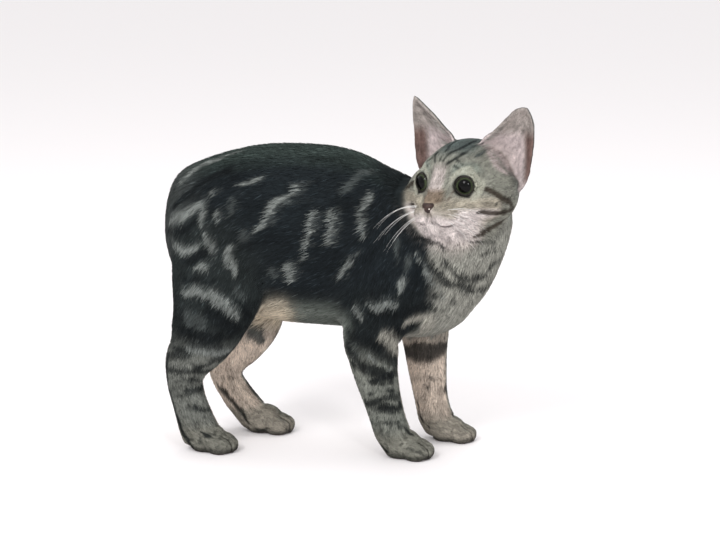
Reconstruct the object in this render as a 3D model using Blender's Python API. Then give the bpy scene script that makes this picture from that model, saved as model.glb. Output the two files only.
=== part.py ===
"""A manx cat standing on four paws with its head turned back over its right shoulder, life size.

The flesh is one closed form: tubes along the trunk, the neck and each leg, and ellipsoids for the
muscles, the skull and the toes, fused by a voxel remesh and smoothed. Thin cuts then part it into
the nodes that a person would name. Eyes, ears and the nose leather are made beside it.

Sizes are in millimetres and are turned into metres where a mesh is made. The cat's own frame has +X
towards its chest, +Y towards its left side, +Z up, and the soles at z = 0.
"""

import math

import bmesh
import bpy
import numpy as np
from mathutils import Matrix, Vector
from mathutils.bvhtree import BVHTree

MM = 0.001
GAP = 0.3  # clear space between two nodes that touch
FRAME_SHIFT = (-2.0, 11.5, 0.0)  # brings the middle of the finished cat over the origin

MUSCLE_VOXEL = 2.4
MUSCLE_SMOOTHING = 26  # passes that blend the muscles into one another
FLESH_VOXEL = 1.6
FLESH_SMOOTHING = 5
BLEND_FLOOR = 60  # height under which the legs are blended less, so that they stay slim
BLEND_FULL = 125
LEAST_BLEND = 0.25
HEAD_TRIANGLES = 3300
BODY_TRIANGLES = 3900

# The trunk: x, top z, bottom z, half width at each station, from the rump to the breast.
TRUNK = (
    (-157, 205, 176, 12),
    (-155, 218, 164, 24),
    (-150, 232, 152, 34),
    (-139, 242, 138, 42),
    (-112, 253, 124, 48),
    (-80, 261.5, 112, 50),
    (-48, 264, 107, 51),
    (-12, 262.5, 106, 50),
    (14, 256, 103, 48),
    (38, 244, 99, 45),
    (62, 234, 98, 41),
    (86, 222, 104, 36),
    (104, 206, 118, 29),
    (113, 188, 138, 20),
)

# The neck rises from the shoulders and bends to the right: centre, half depth, half width.
NECK = (
    ((62, 0, 150), 50, 40),
    ((78, 0, 166), 50, 41),
    ((91, -4, 186), 46, 41),
    ((101, -14, 206), 42, 40),
    ((106, -22, 222), 38, 38),
)

# Legs: centre, half depth along the body, half width across it, from the top down.
FORELEG_RIGHT = (
    ((66, -12, 214), 12, 8),
    ((58, -20, 190), 27, 17),
    ((46, -27, 160), 32, 21),
    ((34, -30, 130), 29, 21.5),
    ((25.5, -29.5, 108), 26.5, 19.5),
    ((26, -28.5, 90), 22.5, 17.5),
    ((29, -27.5, 70), 19.2, 15.8),
    ((33.5, -27, 52), 17, 14.5),
    ((38, -27, 36), 15.8, 14),
    ((43, -27.5, 22), 15.5, 14.3),
    ((48, -28, 10), 13, 13.5),
)
FORELEG_LEFT = (
    ((70, 12, 210), 12, 8),
    ((68, 20, 186), 27, 17),
    ((64, 28, 154), 30, 21),
    ((61, 32, 122), 26, 21.5),
    ((61.5, 33, 98), 22.2, 18.5),
    ((62.5, 33, 80), 19.2, 16),
    ((64, 33, 62), 17.3, 15),
    ((66, 33, 46), 15.6, 14),
    ((68.5, 33, 32), 15, 13.6),
    ((72, 33, 20), 15.4, 14),
    ((77, 33, 9), 14, 13),
)
HINDLEG_RIGHT = (
    ((-98, -12, 214), 14, 10),
    ((-103, -22, 188), 34, 22),
    ((-106, -29, 160), 41, 25),
    ((-108, -34, 134), 39, 24.5),
    ((-115, -35.5, 111), 33, 20.5),
    ((-126, -35.5, 90), 26.5, 17),
    ((-134, -35, 74), 20, 14.5),
    ((-135.5, -35, 57), 16, 13),
    ((-131, -35, 39), 15.8, 12.8),
    ((-125, -35, 22), 17, 13.5),
    ((-121, -35, 8), 16.5, 12.5),
)
HINDLEG_LEFT = (
    ((-92, 12, 214), 14, 10),
    ((-96, 22, 188), 34, 22),
    ((-95, 29, 160), 41, 25),
    ((-92, 33, 130), 38, 24.5),
    ((-95, 33.5, 101), 31, 20.5),
    ((-105, 33.5, 79), 24.5, 17),
    ((-114, 33, 63), 18.5, 14.5),
    ((-114.5, 33, 49), 15, 13),
    ((-106.5, 33, 34), 14.2, 12.8),
    ((-96, 33, 21), 14.5, 13.3),
    ((-88, 33, 9), 13.5, 12.5),
)

# Paws: where the middle of the sole is, and which way the toes point, in degrees from +X.
PAWS = {
    "fore_right": ((56, -26), -6, 1.1),
    "fore_left": ((87, 33), -2, 1.0),
    "hind_right": ((-112, -35), -6, 1.08),
    "hind_left": ((-77, 33), 2, 1.12),
}
TOE_REACH = 13  # from the middle of the paw to the middle of a toe
TOE_SPREAD = (-0.86, -0.3, 0.3, 0.86)
TOE_HALF_WIDTH = 5.6
PAW_HALF_WIDTH = 14.5
SOLE_SINK = 1.6  # how far the rounded pads reach under the floor before they are cut flat

# The head's own frame has +X to the nose, +Y to the cat's left and its origin inside the skull.
HEAD_AT = (102, -28, 232)
HEAD_YAW = -117
HEAD_PITCH = -2
HEAD_ROLL = 2
# Each form of the skull: centre and radii. A form that lies off the middle is mirrored.
HEAD_FORMS = (
    ((-9, 0, 9), (41, 37, 32.5)),  # braincase
    ((-2, 0, -8), (37, 40, 26)),  # jaw muscles
    ((0, 31, -2), (26, 19, 22)),  # cheek
    ((13, 0, 17), (23, 28, 20)),  # forehead
    ((19, 14, 20), (13, 13, 10)),  # brow
    ((26, 0, 4), (21, 13, 15)),  # bridge of the nose
    ((23, 16, -8), (18, 15, 13)),  # under the eye
    ((26, 0, -18), (20, 18, 13)),  # jaw
)
# Smaller forms that are added after the big ones are blended, so that they stay crisp.
FACE_FORMS = (
    ((40, 0, -1.5), (14, 8, 8)),  # end of the nose
    ((39.5, 9, -13.5), (13.5, 11.5, 10.5)),  # whisker pad
    ((37, 0, -24.5), (11, 9.5, 9)),  # chin
)
NOSE_AT = (51.5, 0, -5.5)
NOSE_RADII = (4.2, 6.0, 4.6)
NOSTRIL_AT = (55.0, 3.4, -6.2)
NOSTRIL_RADII = (2.6, 1.5, 1.2)
MOUTH_ROUTE = (
    (58, 0, -10),
    (58, 0, -15),
    (57, 3, -19.5),
    (51, 9, -22.5),
    (45, 16, -22.5),
    (38, 22, -19),
)
MOUTH_WIDTH = 1.5
MOUTH_TRIANGLES = 420

EYE_AT = (22.0, 19.0, 9.5)
EYE_RADIUS = 10.4
EYE_SIDES = 18
LID_THICKNESS = 1.6
GAZE = (0.94, 0.32, 0.05)
EYE_OPENING = (8.4, 7.4)  # half width and half height of the gap between the lids

# Ears: points up the inner and the outer edge of each cup, from its root to its tip.
EARS = {
    "ear_right": (
        ((-4, -8, 26), (-5, -13, 42), (-7, -23, 50), (-9, -33, 58), (-11, -46.5, 67.5), (-12, -55.5, 74)),
        ((-11, -36, -12), (-16, -54, 6), (-17, -60, 23), (-16, -59.5, 42), (-14, -59, 60), (-12, -56.5, 74)),
    ),
    "ear_left": (
        ((-4, 10, 26), (-5, 16, 41.5), (-7, 27, 49.5), (-9, 38, 60), (-11, 45.5, 67), (-12, 53.5, 69.5)),
        ((-11, 35, -12), (-16, 50, 6), (-17, 55, 23), (-16, 59, 41), (-14, 60.5, 56), (-12, 56.5, 69)),
    ),
}
EAR_WALL = 2.4
EAR_DEPTH = 15
EAR_ROWS = 22
EAR_COLUMNS = 18
EAR_VOXEL = 0.8
EAR_TRIANGLES = 460

# Each thin cut: the head and the legs leave the body by rounded cutters, the rest by planes.
HEAD_CUTTER = ((4, 0, 4), (54, 47.5, 50))  # in the head's frame
LEG_TOP = 96  # height at which the legs leave the body
PAW_TOP = 25
HOCK = 60
NECK_CUT = ((66, 0, 190), (0.86, -0.05, 0.50))
RIBS_END = -8
RUMP_START = -84
THIGHS = {"right": ((-110, -46, 140), (47, 35, 70)), "left": ((-98, 46, 138), (47, 35, 70))}
SHOULDERS = {"right": ((44, -44, 146), (38, 32, 64)), "left": ((62, 44, 144), (36, 32, 64))}
REACH = 400  # half the size of a box that stands for one side of a plane

COAT_DARK = (0.035, 0.04, 0.045, 1)
COAT_GREY = (0.28, 0.28, 0.26, 1)
COAT_PALE = (0.55, 0.52, 0.46, 1)
NOSE_COLOUR = (0.22, 0.10, 0.09, 1)
EYE_COLOUR = (0.03, 0.05, 0.02, 1)


def clear_scene():
    for old in list(bpy.data.objects):
        bpy.data.objects.remove(old)


def material(name, colour, roughness):
    finish = bpy.data.materials.new(name)
    finish.use_nodes = True
    shader = finish.node_tree.nodes["Principled BSDF"]
    shader.inputs["Base Color"].default_value = colour
    shader.inputs["Roughness"].default_value = roughness
    shader.inputs["Metallic"].default_value = 0.0
    return finish


def new_object(name, mesh):
    made = bpy.data.objects.new(name, mesh)
    bpy.context.scene.collection.objects.link(made)
    return made


def object_from(name, bm):
    """The bmesh, in millimetres, as an object in metres."""
    bmesh.ops.recalc_face_normals(bm, faces=bm.faces)
    bm.transform(Matrix.Scale(MM, 4))
    mesh = bpy.data.meshes.new(name)
    bm.to_mesh(mesh)
    bm.free()
    return new_object(name, mesh)


def settle(obj):
    """Applies the object's modifiers to its mesh."""
    graph = bpy.context.evaluated_depsgraph_get()
    mesh = bpy.data.meshes.new_from_object(obj.evaluated_get(graph))
    obj.modifiers.clear()
    old, obj.data = obj.data, mesh
    bpy.data.meshes.remove(old)
    return obj


def copy_of(obj, name):
    return new_object(name, obj.data.copy())


def boolean(obj, cutter, operation, keep_cutter=False):
    step = obj.modifiers.new(operation.title(), "BOOLEAN")
    step.operation = operation
    step.solver = "EXACT"
    step.object = cutter
    settle(obj)
    if not keep_cutter:
        bpy.data.objects.remove(cutter)
    return obj


def keep_largest(obj):
    """Drops every closed surface of the mesh but the one with the most faces."""
    bm = bmesh.new()
    bm.from_mesh(obj.data)
    left = set(bm.faces)
    shells = []
    while left:
        stack = [left.pop()]
        shell = list(stack)
        while stack:
            for edge in stack.pop().edges:
                fresh = [face for face in edge.link_faces if face in left]
                left.difference_update(fresh)
                stack.extend(fresh)
                shell.extend(fresh)
        shells.append(shell)
    shells.sort(key=len)
    scraps = [face for shell in shells[:-1] for face in shell]
    bmesh.ops.delete(bm, geom=scraps, context="FACES")
    bm.to_mesh(obj.data)
    bm.free()
    return obj


def eased(stations, steps=5):
    """Stations read from a smooth curve through the given ones."""
    rows = np.array([[*np.ravel(row[0]), *row[1:]] for row in stations], float)
    ends = np.vstack([2 * rows[0] - rows[1], rows, 2 * rows[-1] - rows[-2]])
    made = []
    for before, start, stop, after in zip(ends, ends[1:], ends[2:], ends[3:]):
        for t in np.arange(steps) / steps:
            made.append(
                0.5
                * (
                    2 * start
                    + (stop - before) * t
                    + (2 * before - 5 * start + 4 * stop - after) * t**2
                    + (3 * start - before - 3 * stop + after) * t**3
                )
            )
    return np.array(made + [rows[-1]])


def add_rings(bm, rings):
    """One closed tube through rings of points, with a flat cap at each end."""
    loops = [[bm.verts.new(point) for point in ring] for ring in rings]
    for low, high in zip(loops, loops[1:]):
        for i, point in enumerate(low):
            j = (i + 1) % len(low)
            bm.faces.new((point, low[j], high[j], high[i]))
    bm.faces.new(loops[0][::-1])
    bm.faces.new(loops[-1])


def ring(middle, across, along, half_across, half_along, sides=28):
    turns = np.arange(sides) * 2 * math.pi / sides
    return [
        middle + across * (half_across * math.cos(t)) + along * (half_along * math.sin(t))
        for t in turns
    ]


def add_trunk(bm):
    rows = eased([((x, 0, 0), top, bottom, width) for x, top, bottom, width in TRUNK])
    rings = []
    for x, _, _, top, bottom, width in rows:
        middle = Vector((x, 0, (top + bottom) / 2))
        rings.append(ring(middle, Vector((0, 1, 0)), Vector((0, 0, 1)), width, (top - bottom) / 2))
    add_rings(bm, rings)


def add_limb(bm, stations):
    """A tube whose rings stand square to the limb, wide across the body and deep along it."""
    rows = eased(stations)
    middles = [Vector(row[:3]) for row in rows]
    rings = []
    for i, row in enumerate(rows):
        way = (middles[min(i + 1, len(rows) - 1)] - middles[max(i - 1, 0)]).normalized()
        across = Vector((0, 1, 0))
        across = (across - way * across.dot(way)).normalized()
        rings.append(ring(middles[i], across, way.cross(across), row[4], row[3]))
    add_rings(bm, rings)


def ball(segments=32):
    """A ball of radius 1 as a mesh, which ellipsoids are stretched from. It is made once per size."""
    name = f"ball {segments}"
    if name not in bpy.data.meshes:
        bm = bmesh.new()
        bmesh.ops.create_uvsphere(bm, u_segments=segments, v_segments=segments * 5 // 8, radius=1)
        bm.to_mesh(bpy.data.meshes.new(name))
        bm.free()
    return bpy.data.meshes[name].copy()


def add_ellipsoid(bm, centre, radii, place=Matrix.Identity(4)):
    stretched = ball()
    stretched.transform(place @ Matrix.Translation(centre) @ Matrix.Diagonal((*radii, 1)))
    bm.from_mesh(stretched)
    bpy.data.meshes.remove(stretched)


def add_paw(bm, centre, heading, size):
    """A paw of four toes in front of one low pad, with the toes spread in an arc."""
    place = Matrix.Translation((*centre, -SOLE_SINK)) @ Matrix.Rotation(math.radians(heading), 4, "Z")
    place = place @ Matrix.Scale(size, 4)
    add_ellipsoid(bm, (-6, 0, 9.5), (13.5, PAW_HALF_WIDTH - 0.5, 9.5), place)
    add_ellipsoid(bm, (-3, 0, 14), (13, 12, 9), place)
    for spread in TOE_SPREAD:
        reach = TOE_REACH - 6.5 * spread**2
        toe = (reach, spread * 11, 7.2)
        add_ellipsoid(bm, toe, (8.4, TOE_HALF_WIDTH, 7.2), place)
        knuckle = (reach - 6, spread * 10, 10)
        add_ellipsoid(bm, knuckle, (7, TOE_HALF_WIDTH - 0.6, 7), place)


def head_place():
    turn = Matrix.Rotation(math.radians(HEAD_YAW), 4, "Z")
    turn = turn @ Matrix.Rotation(math.radians(-HEAD_PITCH), 4, "Y")
    turn = turn @ Matrix.Rotation(math.radians(HEAD_ROLL), 4, "X")
    return Matrix.Translation(HEAD_AT) @ turn


def mirrored(point, side):
    return (point[0], point[1] * side, point[2])


def fused(bm, name, voxel, passes, limit_low=False):
    """The closed pieces in bm as one skin, smoothed. With limit_low the lower legs are smoothed less."""
    whole = object_from(name, bm)
    skin = whole.modifiers.new("Fuse", "REMESH")
    skin.mode = "VOXEL"
    skin.voxel_size = voxel * MM
    settle(whole)
    blend = whole.modifiers.new("Blend", "SMOOTH")
    blend.factor = 0.5
    blend.iterations = passes
    if limit_low:
        amount = whole.vertex_groups.new(name="blend")
        for point in whole.data.vertices:
            rise = (point.co.z / MM - BLEND_FLOOR) / (BLEND_FULL - BLEND_FLOOR)
            amount.add([point.index], min(1, max(LEAST_BLEND, rise)), "REPLACE")
        blend.vertex_group = "blend"
    return settle(whole)


def thinned(obj, triangles):
    """The object with its triangles merged down to about the given number."""
    count = sum(len(face.vertices) - 2 for face in obj.data.polygons)
    step = obj.modifiers.new("Thin", "DECIMATE")
    step.ratio = min(1, triangles / count)
    step.use_collapse_triangulate = True
    return settle(obj)


def flesh():
    """The whole cat but for its ears, as one smooth closed mesh."""
    place = head_place()
    bm = bmesh.new()
    add_trunk(bm)
    for limb in (NECK, FORELEG_RIGHT, FORELEG_LEFT, HINDLEG_RIGHT, HINDLEG_LEFT):
        add_limb(bm, limb)
    for centre, radii in HEAD_FORMS:
        for side in (1, -1) if centre[1] else (1,):
            add_ellipsoid(bm, mirrored(centre, side), radii, place)
    muscles = fused(bm, "muscles", MUSCLE_VOXEL, MUSCLE_SMOOTHING, limit_low=True)
    bm = bmesh.new()
    bm.from_mesh(muscles.data)
    bm.transform(Matrix.Scale(1 / MM, 4))
    bpy.data.objects.remove(muscles)
    for centre, heading, size in PAWS.values():
        add_paw(bm, centre, heading, size)
    lid = EYE_RADIUS + LID_THICKNESS
    for centre, radii in (*FACE_FORMS, (EYE_AT, (lid, lid, lid)), (NOSE_AT, NOSE_RADII)):
        for side in (1, -1) if centre[1] else (1,):
            add_ellipsoid(bm, mirrored(centre, side), radii, place)
    return keep_largest(fused(bm, "flesh", FLESH_VOXEL, FLESH_SMOOTHING))


def ellipsoid(name, centre, radii, place=Matrix.Identity(4), grow=0.0, sides=14):
    """An ellipsoid as an object of its own, grown all round by the given length."""
    mesh = ball(sides)
    radii = [radius + grow for radius in radii]
    mesh.transform(place @ Matrix.Translation(centre) @ Matrix.Diagonal((*radii, 1)))
    mesh.transform(Matrix.Scale(MM, 4))
    return new_object(name, mesh)


def box(name, low, high, place=Matrix.Identity(4)):
    bm = bmesh.new()
    bmesh.ops.create_cube(bm, size=1)
    size = Vector(high) - Vector(low)
    bm.transform(place @ Matrix.Translation((Vector(low) + Vector(high)) / 2) @ Matrix.Diagonal((*size, 1)))
    return object_from(name, bm)


def side_of(name, point, normal, grow=0.0):
    """A box that stands for all the space ahead of a plane, moved back by grow."""
    turn = Vector(normal).normalized().to_track_quat("Z", "Y").to_matrix().to_4x4()
    place = Matrix.Translation(point) @ turn
    return box(name, (-REACH, -REACH, -grow), (REACH, REACH, 2 * REACH), place)


def split(obj, name, cutter, **shape):
    """Takes what lies in the cutter out of the object as a new node, with a thin gap between them."""
    taken = boolean(copy_of(obj, name), cutter("cutter", **shape), "INTERSECT")
    boolean(obj, cutter("cutter", grow=GAP, **shape), "DIFFERENCE")
    keep_largest(obj)
    return keep_largest(taken)


def low_box(name, sides, top, grow=0.0):
    """A box under the given height, on one side of the middle of the body each way."""
    x_side, y_side = sides
    low = (min(0, x_side * REACH), min(0, y_side * REACH), -REACH)
    return box(name, low, (max(0, x_side * REACH), max(0, y_side * REACH), top + grow))


def make_head(head, nodes):
    """Opens the lids, sets in the eyes and the nose, and cuts the mouth and the nostrils."""
    place = head_place()
    for side, name in ((-1, "eye_right"), (1, "eye_left")):
        centre = mirrored(EYE_AT, side)
        nodes[name] = ellipsoid(name, centre, [EYE_RADIUS] * 3, place, sides=EYE_SIDES)
        socket = ellipsoid("socket", centre, [EYE_RADIUS] * 3, place, GAP, EYE_SIDES)
        boolean(head, socket, "DIFFERENCE")
        boolean(head, lid_gap(centre, side, place), "DIFFERENCE")
    boolean(head, ellipsoid("nose_seat", NOSE_AT, NOSE_RADII, place, GAP), "DIFFERENCE")
    nodes["nose"] = ellipsoid("nose", NOSE_AT, NOSE_RADII, place)
    for side in (1, -1):
        nostril = ellipsoid("nostril", mirrored(NOSTRIL_AT, side), NOSTRIL_RADII, place, sides=12)
        boolean(nodes["nose"], nostril, "DIFFERENCE")
    boolean(head, mouth_line(head, place), "DIFFERENCE")
    nodes["head"] = keep_largest(head)


def lid_gap(centre, side, place):
    """The almond gap between the lids, as a tube along the gaze that widens outward."""
    gaze = place.to_3x3() @ Vector(mirrored(GAZE, side))
    upward = place.to_3x3() @ Vector((0, 0, 1))
    across = upward.cross(gaze).normalized()
    upward = gaze.cross(across).normalized()
    middle = place @ Vector(centre)
    rings = []
    for reach, flare in ((2.0, 0.96), (EYE_RADIUS, 1.0), (EYE_RADIUS + 9, 1.3)):
        turns = np.arange(28) * 2 * math.pi / 28
        loop = []
        for t in turns:
            wide = math.copysign(abs(math.cos(t)) ** 0.9, math.cos(t)) * EYE_OPENING[0]
            high = math.copysign(abs(math.sin(t)) ** 1.15, math.sin(t)) * EYE_OPENING[1]
            loop.append(middle + gaze * reach + across * (wide * flare) + upward * (high * flare))
        rings.append(loop)
    bm = bmesh.new()
    add_rings(bm, rings)
    return object_from("lid_gap", bm)


def mouth_line(head, place):
    """A thin tube that lies in the surface of the muzzle along the line between the lips."""
    bm = bmesh.new()
    bm.from_mesh(head.data)
    bm.transform(Matrix.Scale(1 / MM, 4))
    surface = BVHTree.FromBMesh(bm)
    bm.free()
    routes = [MOUTH_ROUTE, [mirrored(point, -1) for point in MOUTH_ROUTE[2:]]]
    routes[1].insert(0, MOUTH_ROUTE[1])
    bm = bmesh.new()
    for route in routes:
        rows = eased([(point, 0) for point in route], 6)
        middles = []
        for row in rows:
            outside = place @ Vector(row[:3])
            aim = (place @ Vector((18, 0, -12)) - outside).normalized()
            hit = surface.ray_cast(outside, aim)[0] or surface.find_nearest(outside)[0]
            middles.append(hit)
        rings = []
        for i, middle in enumerate(middles):
            way = (middles[min(i + 1, len(middles) - 1)] - middles[max(i - 1, 0)]).normalized()
            across = way.orthogonal().normalized() if not rings else (last - way * last.dot(way)).normalized()
            last = across
            half = MOUTH_WIDTH / 2
            rings.append(ring(middle, across, way.cross(across), half, half, 8))
        add_rings(bm, rings)
    line = object_from("mouth", bm)
    skin = line.modifiers.new("Fuse", "REMESH")
    skin.mode = "VOXEL"
    skin.voxel_size = 0.3 * MM
    settle(line)
    return thinned(line, MOUTH_TRIANGLES)


def make_ear(name, inner, outer, neighbours):
    """A thin cup between its two edges, hollowed to the front, that stands on the head."""
    place = head_place()
    step = EAR_ROWS // (len(inner) - 1)
    left = eased([(point, 0) for point in inner], step)[:, :3]
    right = eased([(point, 0) for point in outer], step)[:, :3]
    bm = bmesh.new()
    grid = []
    for i, (start, stop) in enumerate(zip(left, right)):
        t = i / (len(left) - 1)
        across = Vector(stop - start)
        rise = Vector((left[min(i + 1, len(left) - 1)] - left[max(i - 1, 0)]) + (right[min(i + 1, len(left) - 1)] - right[max(i - 1, 0)]))
        back = across.cross(rise).normalized()
        if back.x > 0:
            back = -back
        depth = EAR_DEPTH * (1 - t) ** 0.75
        row = []
        for k in range(EAR_COLUMNS + 1):
            u = k / EAR_COLUMNS
            bow = math.sin(math.pi * u) ** 0.8 * depth
            row.append(bm.verts.new(place @ (Vector(start) + across * u + back * bow)))
        grid.append(row)
    for low, high in zip(grid, grid[1:]):
        for k in range(EAR_COLUMNS):
            bm.faces.new((low[k], low[k + 1], high[k + 1], high[k]))
    ear = object_from(name, bm)
    wall = ear.modifiers.new("Wall", "SOLIDIFY")
    wall.thickness = EAR_WALL * MM
    wall.offset = 0
    skin = ear.modifiers.new("Fuse", "REMESH")
    skin.mode = "VOXEL"
    skin.voxel_size = EAR_VOXEL * MM
    blend = ear.modifiers.new("Blend", "SMOOTH")
    blend.factor = 0.5
    blend.iterations = 4
    settle(ear)
    thinned(ear, EAR_TRIANGLES)
    for neighbour in neighbours:
        boolean(ear, grown(neighbour), "DIFFERENCE")
    return keep_largest(ear)


def grown(obj):
    """A copy of the object whose surface is moved out by the gap."""
    swollen = copy_of(obj, "grown")
    normals = [tuple(point.normal) for point in swollen.data.vertices]
    for point, normal in zip(swollen.data.vertices, normals):
        point.co += Vector(normal) * (GAP * MM)
    return swollen


def make_body(body, nodes):
    """Parts the body into its legs, then the trunk into neck, breast, ribs, loin and rump."""
    for side, y_side in (("right", -1), ("left", 1)):
        for leg, x_side in (("fore", 1), ("hind", -1)):
            lower = boolean(
                copy_of(body, leg), low_box("cutter", (x_side, y_side), LEG_TOP), "INTERSECT"
            )
            paw = split(lower, leg + "_paw_" + side, low_box, sides=(x_side, y_side), top=PAW_TOP)
            nodes[paw.name] = boolean(paw, side_of("cutter", (0, 0, 0), (0, 0, 1)), "INTERSECT")
            if leg == "hind":
                foot = split(lower, "hind_foot_" + side, low_box, sides=(x_side, y_side), top=HOCK)
                nodes[foot.name] = foot
            lower.name = ("forearm_" if leg == "fore" else "shank_") + side
            nodes[lower.name] = keep_largest(lower)
    boolean(body, side_of("cutter", (0, 0, LEG_TOP + GAP), (0, 0, 1)), "INTERSECT")
    for side in ("right", "left"):
        for kind, forms in (("shoulder_", SHOULDERS), ("thigh_", THIGHS)):
            centre, radii = forms[side]
            name = kind + side
            nodes[name] = split(body, name, ellipsoid, centre=centre, radii=radii)
    nodes["neck"] = split(body, "neck", side_of, point=NECK_CUT[0], normal=NECK_CUT[1])
    nodes["breast"] = split(body, "breast", side_of, point=(RIBS_END + 40, 0, 0), normal=(1, 0, 0))
    nodes["ribs"] = split(body, "ribs", side_of, point=(RIBS_END, 0, 0), normal=(1, 0, 0))
    nodes["loin"] = split(body, "loin", side_of, point=(RUMP_START, 0, 0), normal=(1, 0, 0))
    body.name = "rump"
    nodes["rump"] = body


def finish(nodes):
    """Gives each node its finish and moves the cat over the origin."""
    coat = material("short tabby coat", COAT_GREY, 0.9)
    dark = material("dark tabby coat", COAT_DARK, 0.9)
    pale = material("pale coat", COAT_PALE, 0.9)
    leather = material("nose leather", NOSE_COLOUR, 0.55)
    wet = material("wet eye", EYE_COLOUR, 0.05)
    for name, node in nodes.items():
        chosen = coat
        if name == "nose":
            chosen = leather
        elif name.startswith("eye"):
            chosen = wet
        elif name in ("rump", "loin", "ribs"):
            chosen = dark
        elif name in ("neck", "breast"):
            chosen = pale
        node.data.materials.clear()
        node.data.materials.append(chosen)
        node.data.transform(Matrix.Translation(Vector(FRAME_SHIFT) * MM))


def main():
    clear_scene()
    nodes = {}
    whole = thinned(flesh(), 6 * BODY_TRIANGLES)
    centre, radii = HEAD_CUTTER
    head = split(whole, "head", ellipsoid, centre=centre, radii=radii, place=head_place(), sides=24)
    thinned(head, HEAD_TRIANGLES)
    thinned(whole, BODY_TRIANGLES)
    keep_largest(boolean(whole, grown(head), "DIFFERENCE"))
    for name, (inner, outer) in EARS.items():
        nodes[name] = make_ear(name, inner, outer, (head, whole))
    make_head(head, nodes)
    make_body(whole, nodes)
    finish(nodes)


main()
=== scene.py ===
import math

import bmesh
import bpy
import numpy as np
from mathutils import Matrix, Vector, noise
from mathutils.bvhtree import BVHTree


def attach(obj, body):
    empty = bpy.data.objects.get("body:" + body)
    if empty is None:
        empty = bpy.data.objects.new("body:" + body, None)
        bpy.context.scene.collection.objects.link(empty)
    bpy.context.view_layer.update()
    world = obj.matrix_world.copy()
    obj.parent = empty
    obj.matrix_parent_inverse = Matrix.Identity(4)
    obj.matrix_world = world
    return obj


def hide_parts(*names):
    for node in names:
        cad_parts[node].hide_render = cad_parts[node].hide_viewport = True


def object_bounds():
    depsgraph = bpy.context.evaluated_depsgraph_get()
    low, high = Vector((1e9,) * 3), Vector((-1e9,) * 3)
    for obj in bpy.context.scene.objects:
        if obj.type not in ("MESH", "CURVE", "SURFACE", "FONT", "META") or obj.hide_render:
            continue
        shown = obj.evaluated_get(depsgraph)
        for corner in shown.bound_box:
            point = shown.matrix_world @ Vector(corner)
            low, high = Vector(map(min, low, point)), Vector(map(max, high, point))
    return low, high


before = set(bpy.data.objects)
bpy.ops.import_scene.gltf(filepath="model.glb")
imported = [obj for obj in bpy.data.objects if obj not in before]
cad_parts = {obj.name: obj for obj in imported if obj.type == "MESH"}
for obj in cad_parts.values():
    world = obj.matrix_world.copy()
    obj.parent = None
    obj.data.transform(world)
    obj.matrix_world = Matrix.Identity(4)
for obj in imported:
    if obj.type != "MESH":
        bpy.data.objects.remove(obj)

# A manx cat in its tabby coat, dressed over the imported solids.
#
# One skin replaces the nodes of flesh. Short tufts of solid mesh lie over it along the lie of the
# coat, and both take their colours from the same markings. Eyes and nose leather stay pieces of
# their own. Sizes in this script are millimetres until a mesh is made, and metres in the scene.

MM = 0.001
CAD_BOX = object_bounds()
INSET = 0.15  # how far tufts and whiskers stay inside the solids' box
SEED = 20240611

BOX_LOW = np.array(CAD_BOX[0]) / MM + (INSET, INSET, 0)
BOX_HIGH = np.array(CAD_BOX[1]) / MM - INSET

# The head's own frame has +X to the nose, +Y to the cat's left and its origin inside the skull.
HEAD_AT = Vector((100.0, -16.5, 232.0))
HEAD_TURN = (
    Matrix.Rotation(math.radians(-117), 3, "Z")
    @ Matrix.Rotation(math.radians(2), 3, "Y")
    @ Matrix.Rotation(math.radians(2), 3, "X")
)
EYE_AT = (22.0, 19.0, 9.5)
EYE_RADIUS = 10.4
GAZE = (0.94, 0.32, 0.05)
MIDLINE_Y = 11.5  # the trunk's middle plane

EYES = {"eye_right": -1, "eye_left": 1}
FLESH = [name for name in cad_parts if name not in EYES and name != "nose"]
OVERLAP = 0.35  # how far each node of flesh is swelled, so that the thin cuts close

SKIN_VOXEL = 1.05
FIRST_SMOOTHING = 5
BODY_SMOOTHING = 8
KNEE_SMOOTHING = 28  # more passes where thigh and shank meet at a step
KNEE_HEIGHT = 97
HIND_LEGS_BEHIND = -60
BODY_SHARE = 0.175  # share of the body's triangles that is kept, the head keeps all of its own


def head_point(place):
    return HEAD_AT + HEAD_TURN @ Vector(place)


def head_direction(direction):
    return HEAD_TURN @ Vector(direction)


def in_head(points):
    """Points of the row's frame as an array in the head's frame."""
    return (points - np.array(HEAD_AT)) @ np.array(HEAD_TURN)


# Camera and stage

AIM = Vector((-2.0, 5.5, 150.0)) * MM
VIEW_AZIMUTH, VIEW_HEIGHT = math.radians(10), math.radians(12)
CAMERA_DISTANCE = 2.0
METRES_A_PIXEL = 0.00085
PHOTO_SIZE = (720, 540)
AIM_PIXEL = (347, 277)  # where the photo shows the aimed point
SENSOR = 36.0


def make_camera():
    """The camera, where the photo was taken from."""
    back = Vector((
        math.sin(VIEW_AZIMUTH) * math.cos(VIEW_HEIGHT),
        -math.cos(VIEW_AZIMUTH) * math.cos(VIEW_HEIGHT),
        math.sin(VIEW_HEIGHT),
    ))
    data = bpy.data.cameras.new("camera")
    data.sensor_width = SENSOR
    data.lens = SENSOR * CAMERA_DISTANCE / METRES_A_PIXEL / PHOTO_SIZE[0]
    data.shift_x = (PHOTO_SIZE[0] / 2 - AIM_PIXEL[0]) / PHOTO_SIZE[0]
    data.shift_y = (AIM_PIXEL[1] - PHOTO_SIZE[1] / 2) / PHOTO_SIZE[0]
    camera = bpy.data.objects.new("camera", data)
    camera.location = AIM + back * CAMERA_DISTANCE
    camera.rotation_euler = (-back).to_track_quat("-Z", "Y").to_euler()
    bpy.context.scene.collection.objects.link(camera)
    bpy.context.scene.camera = camera


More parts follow.
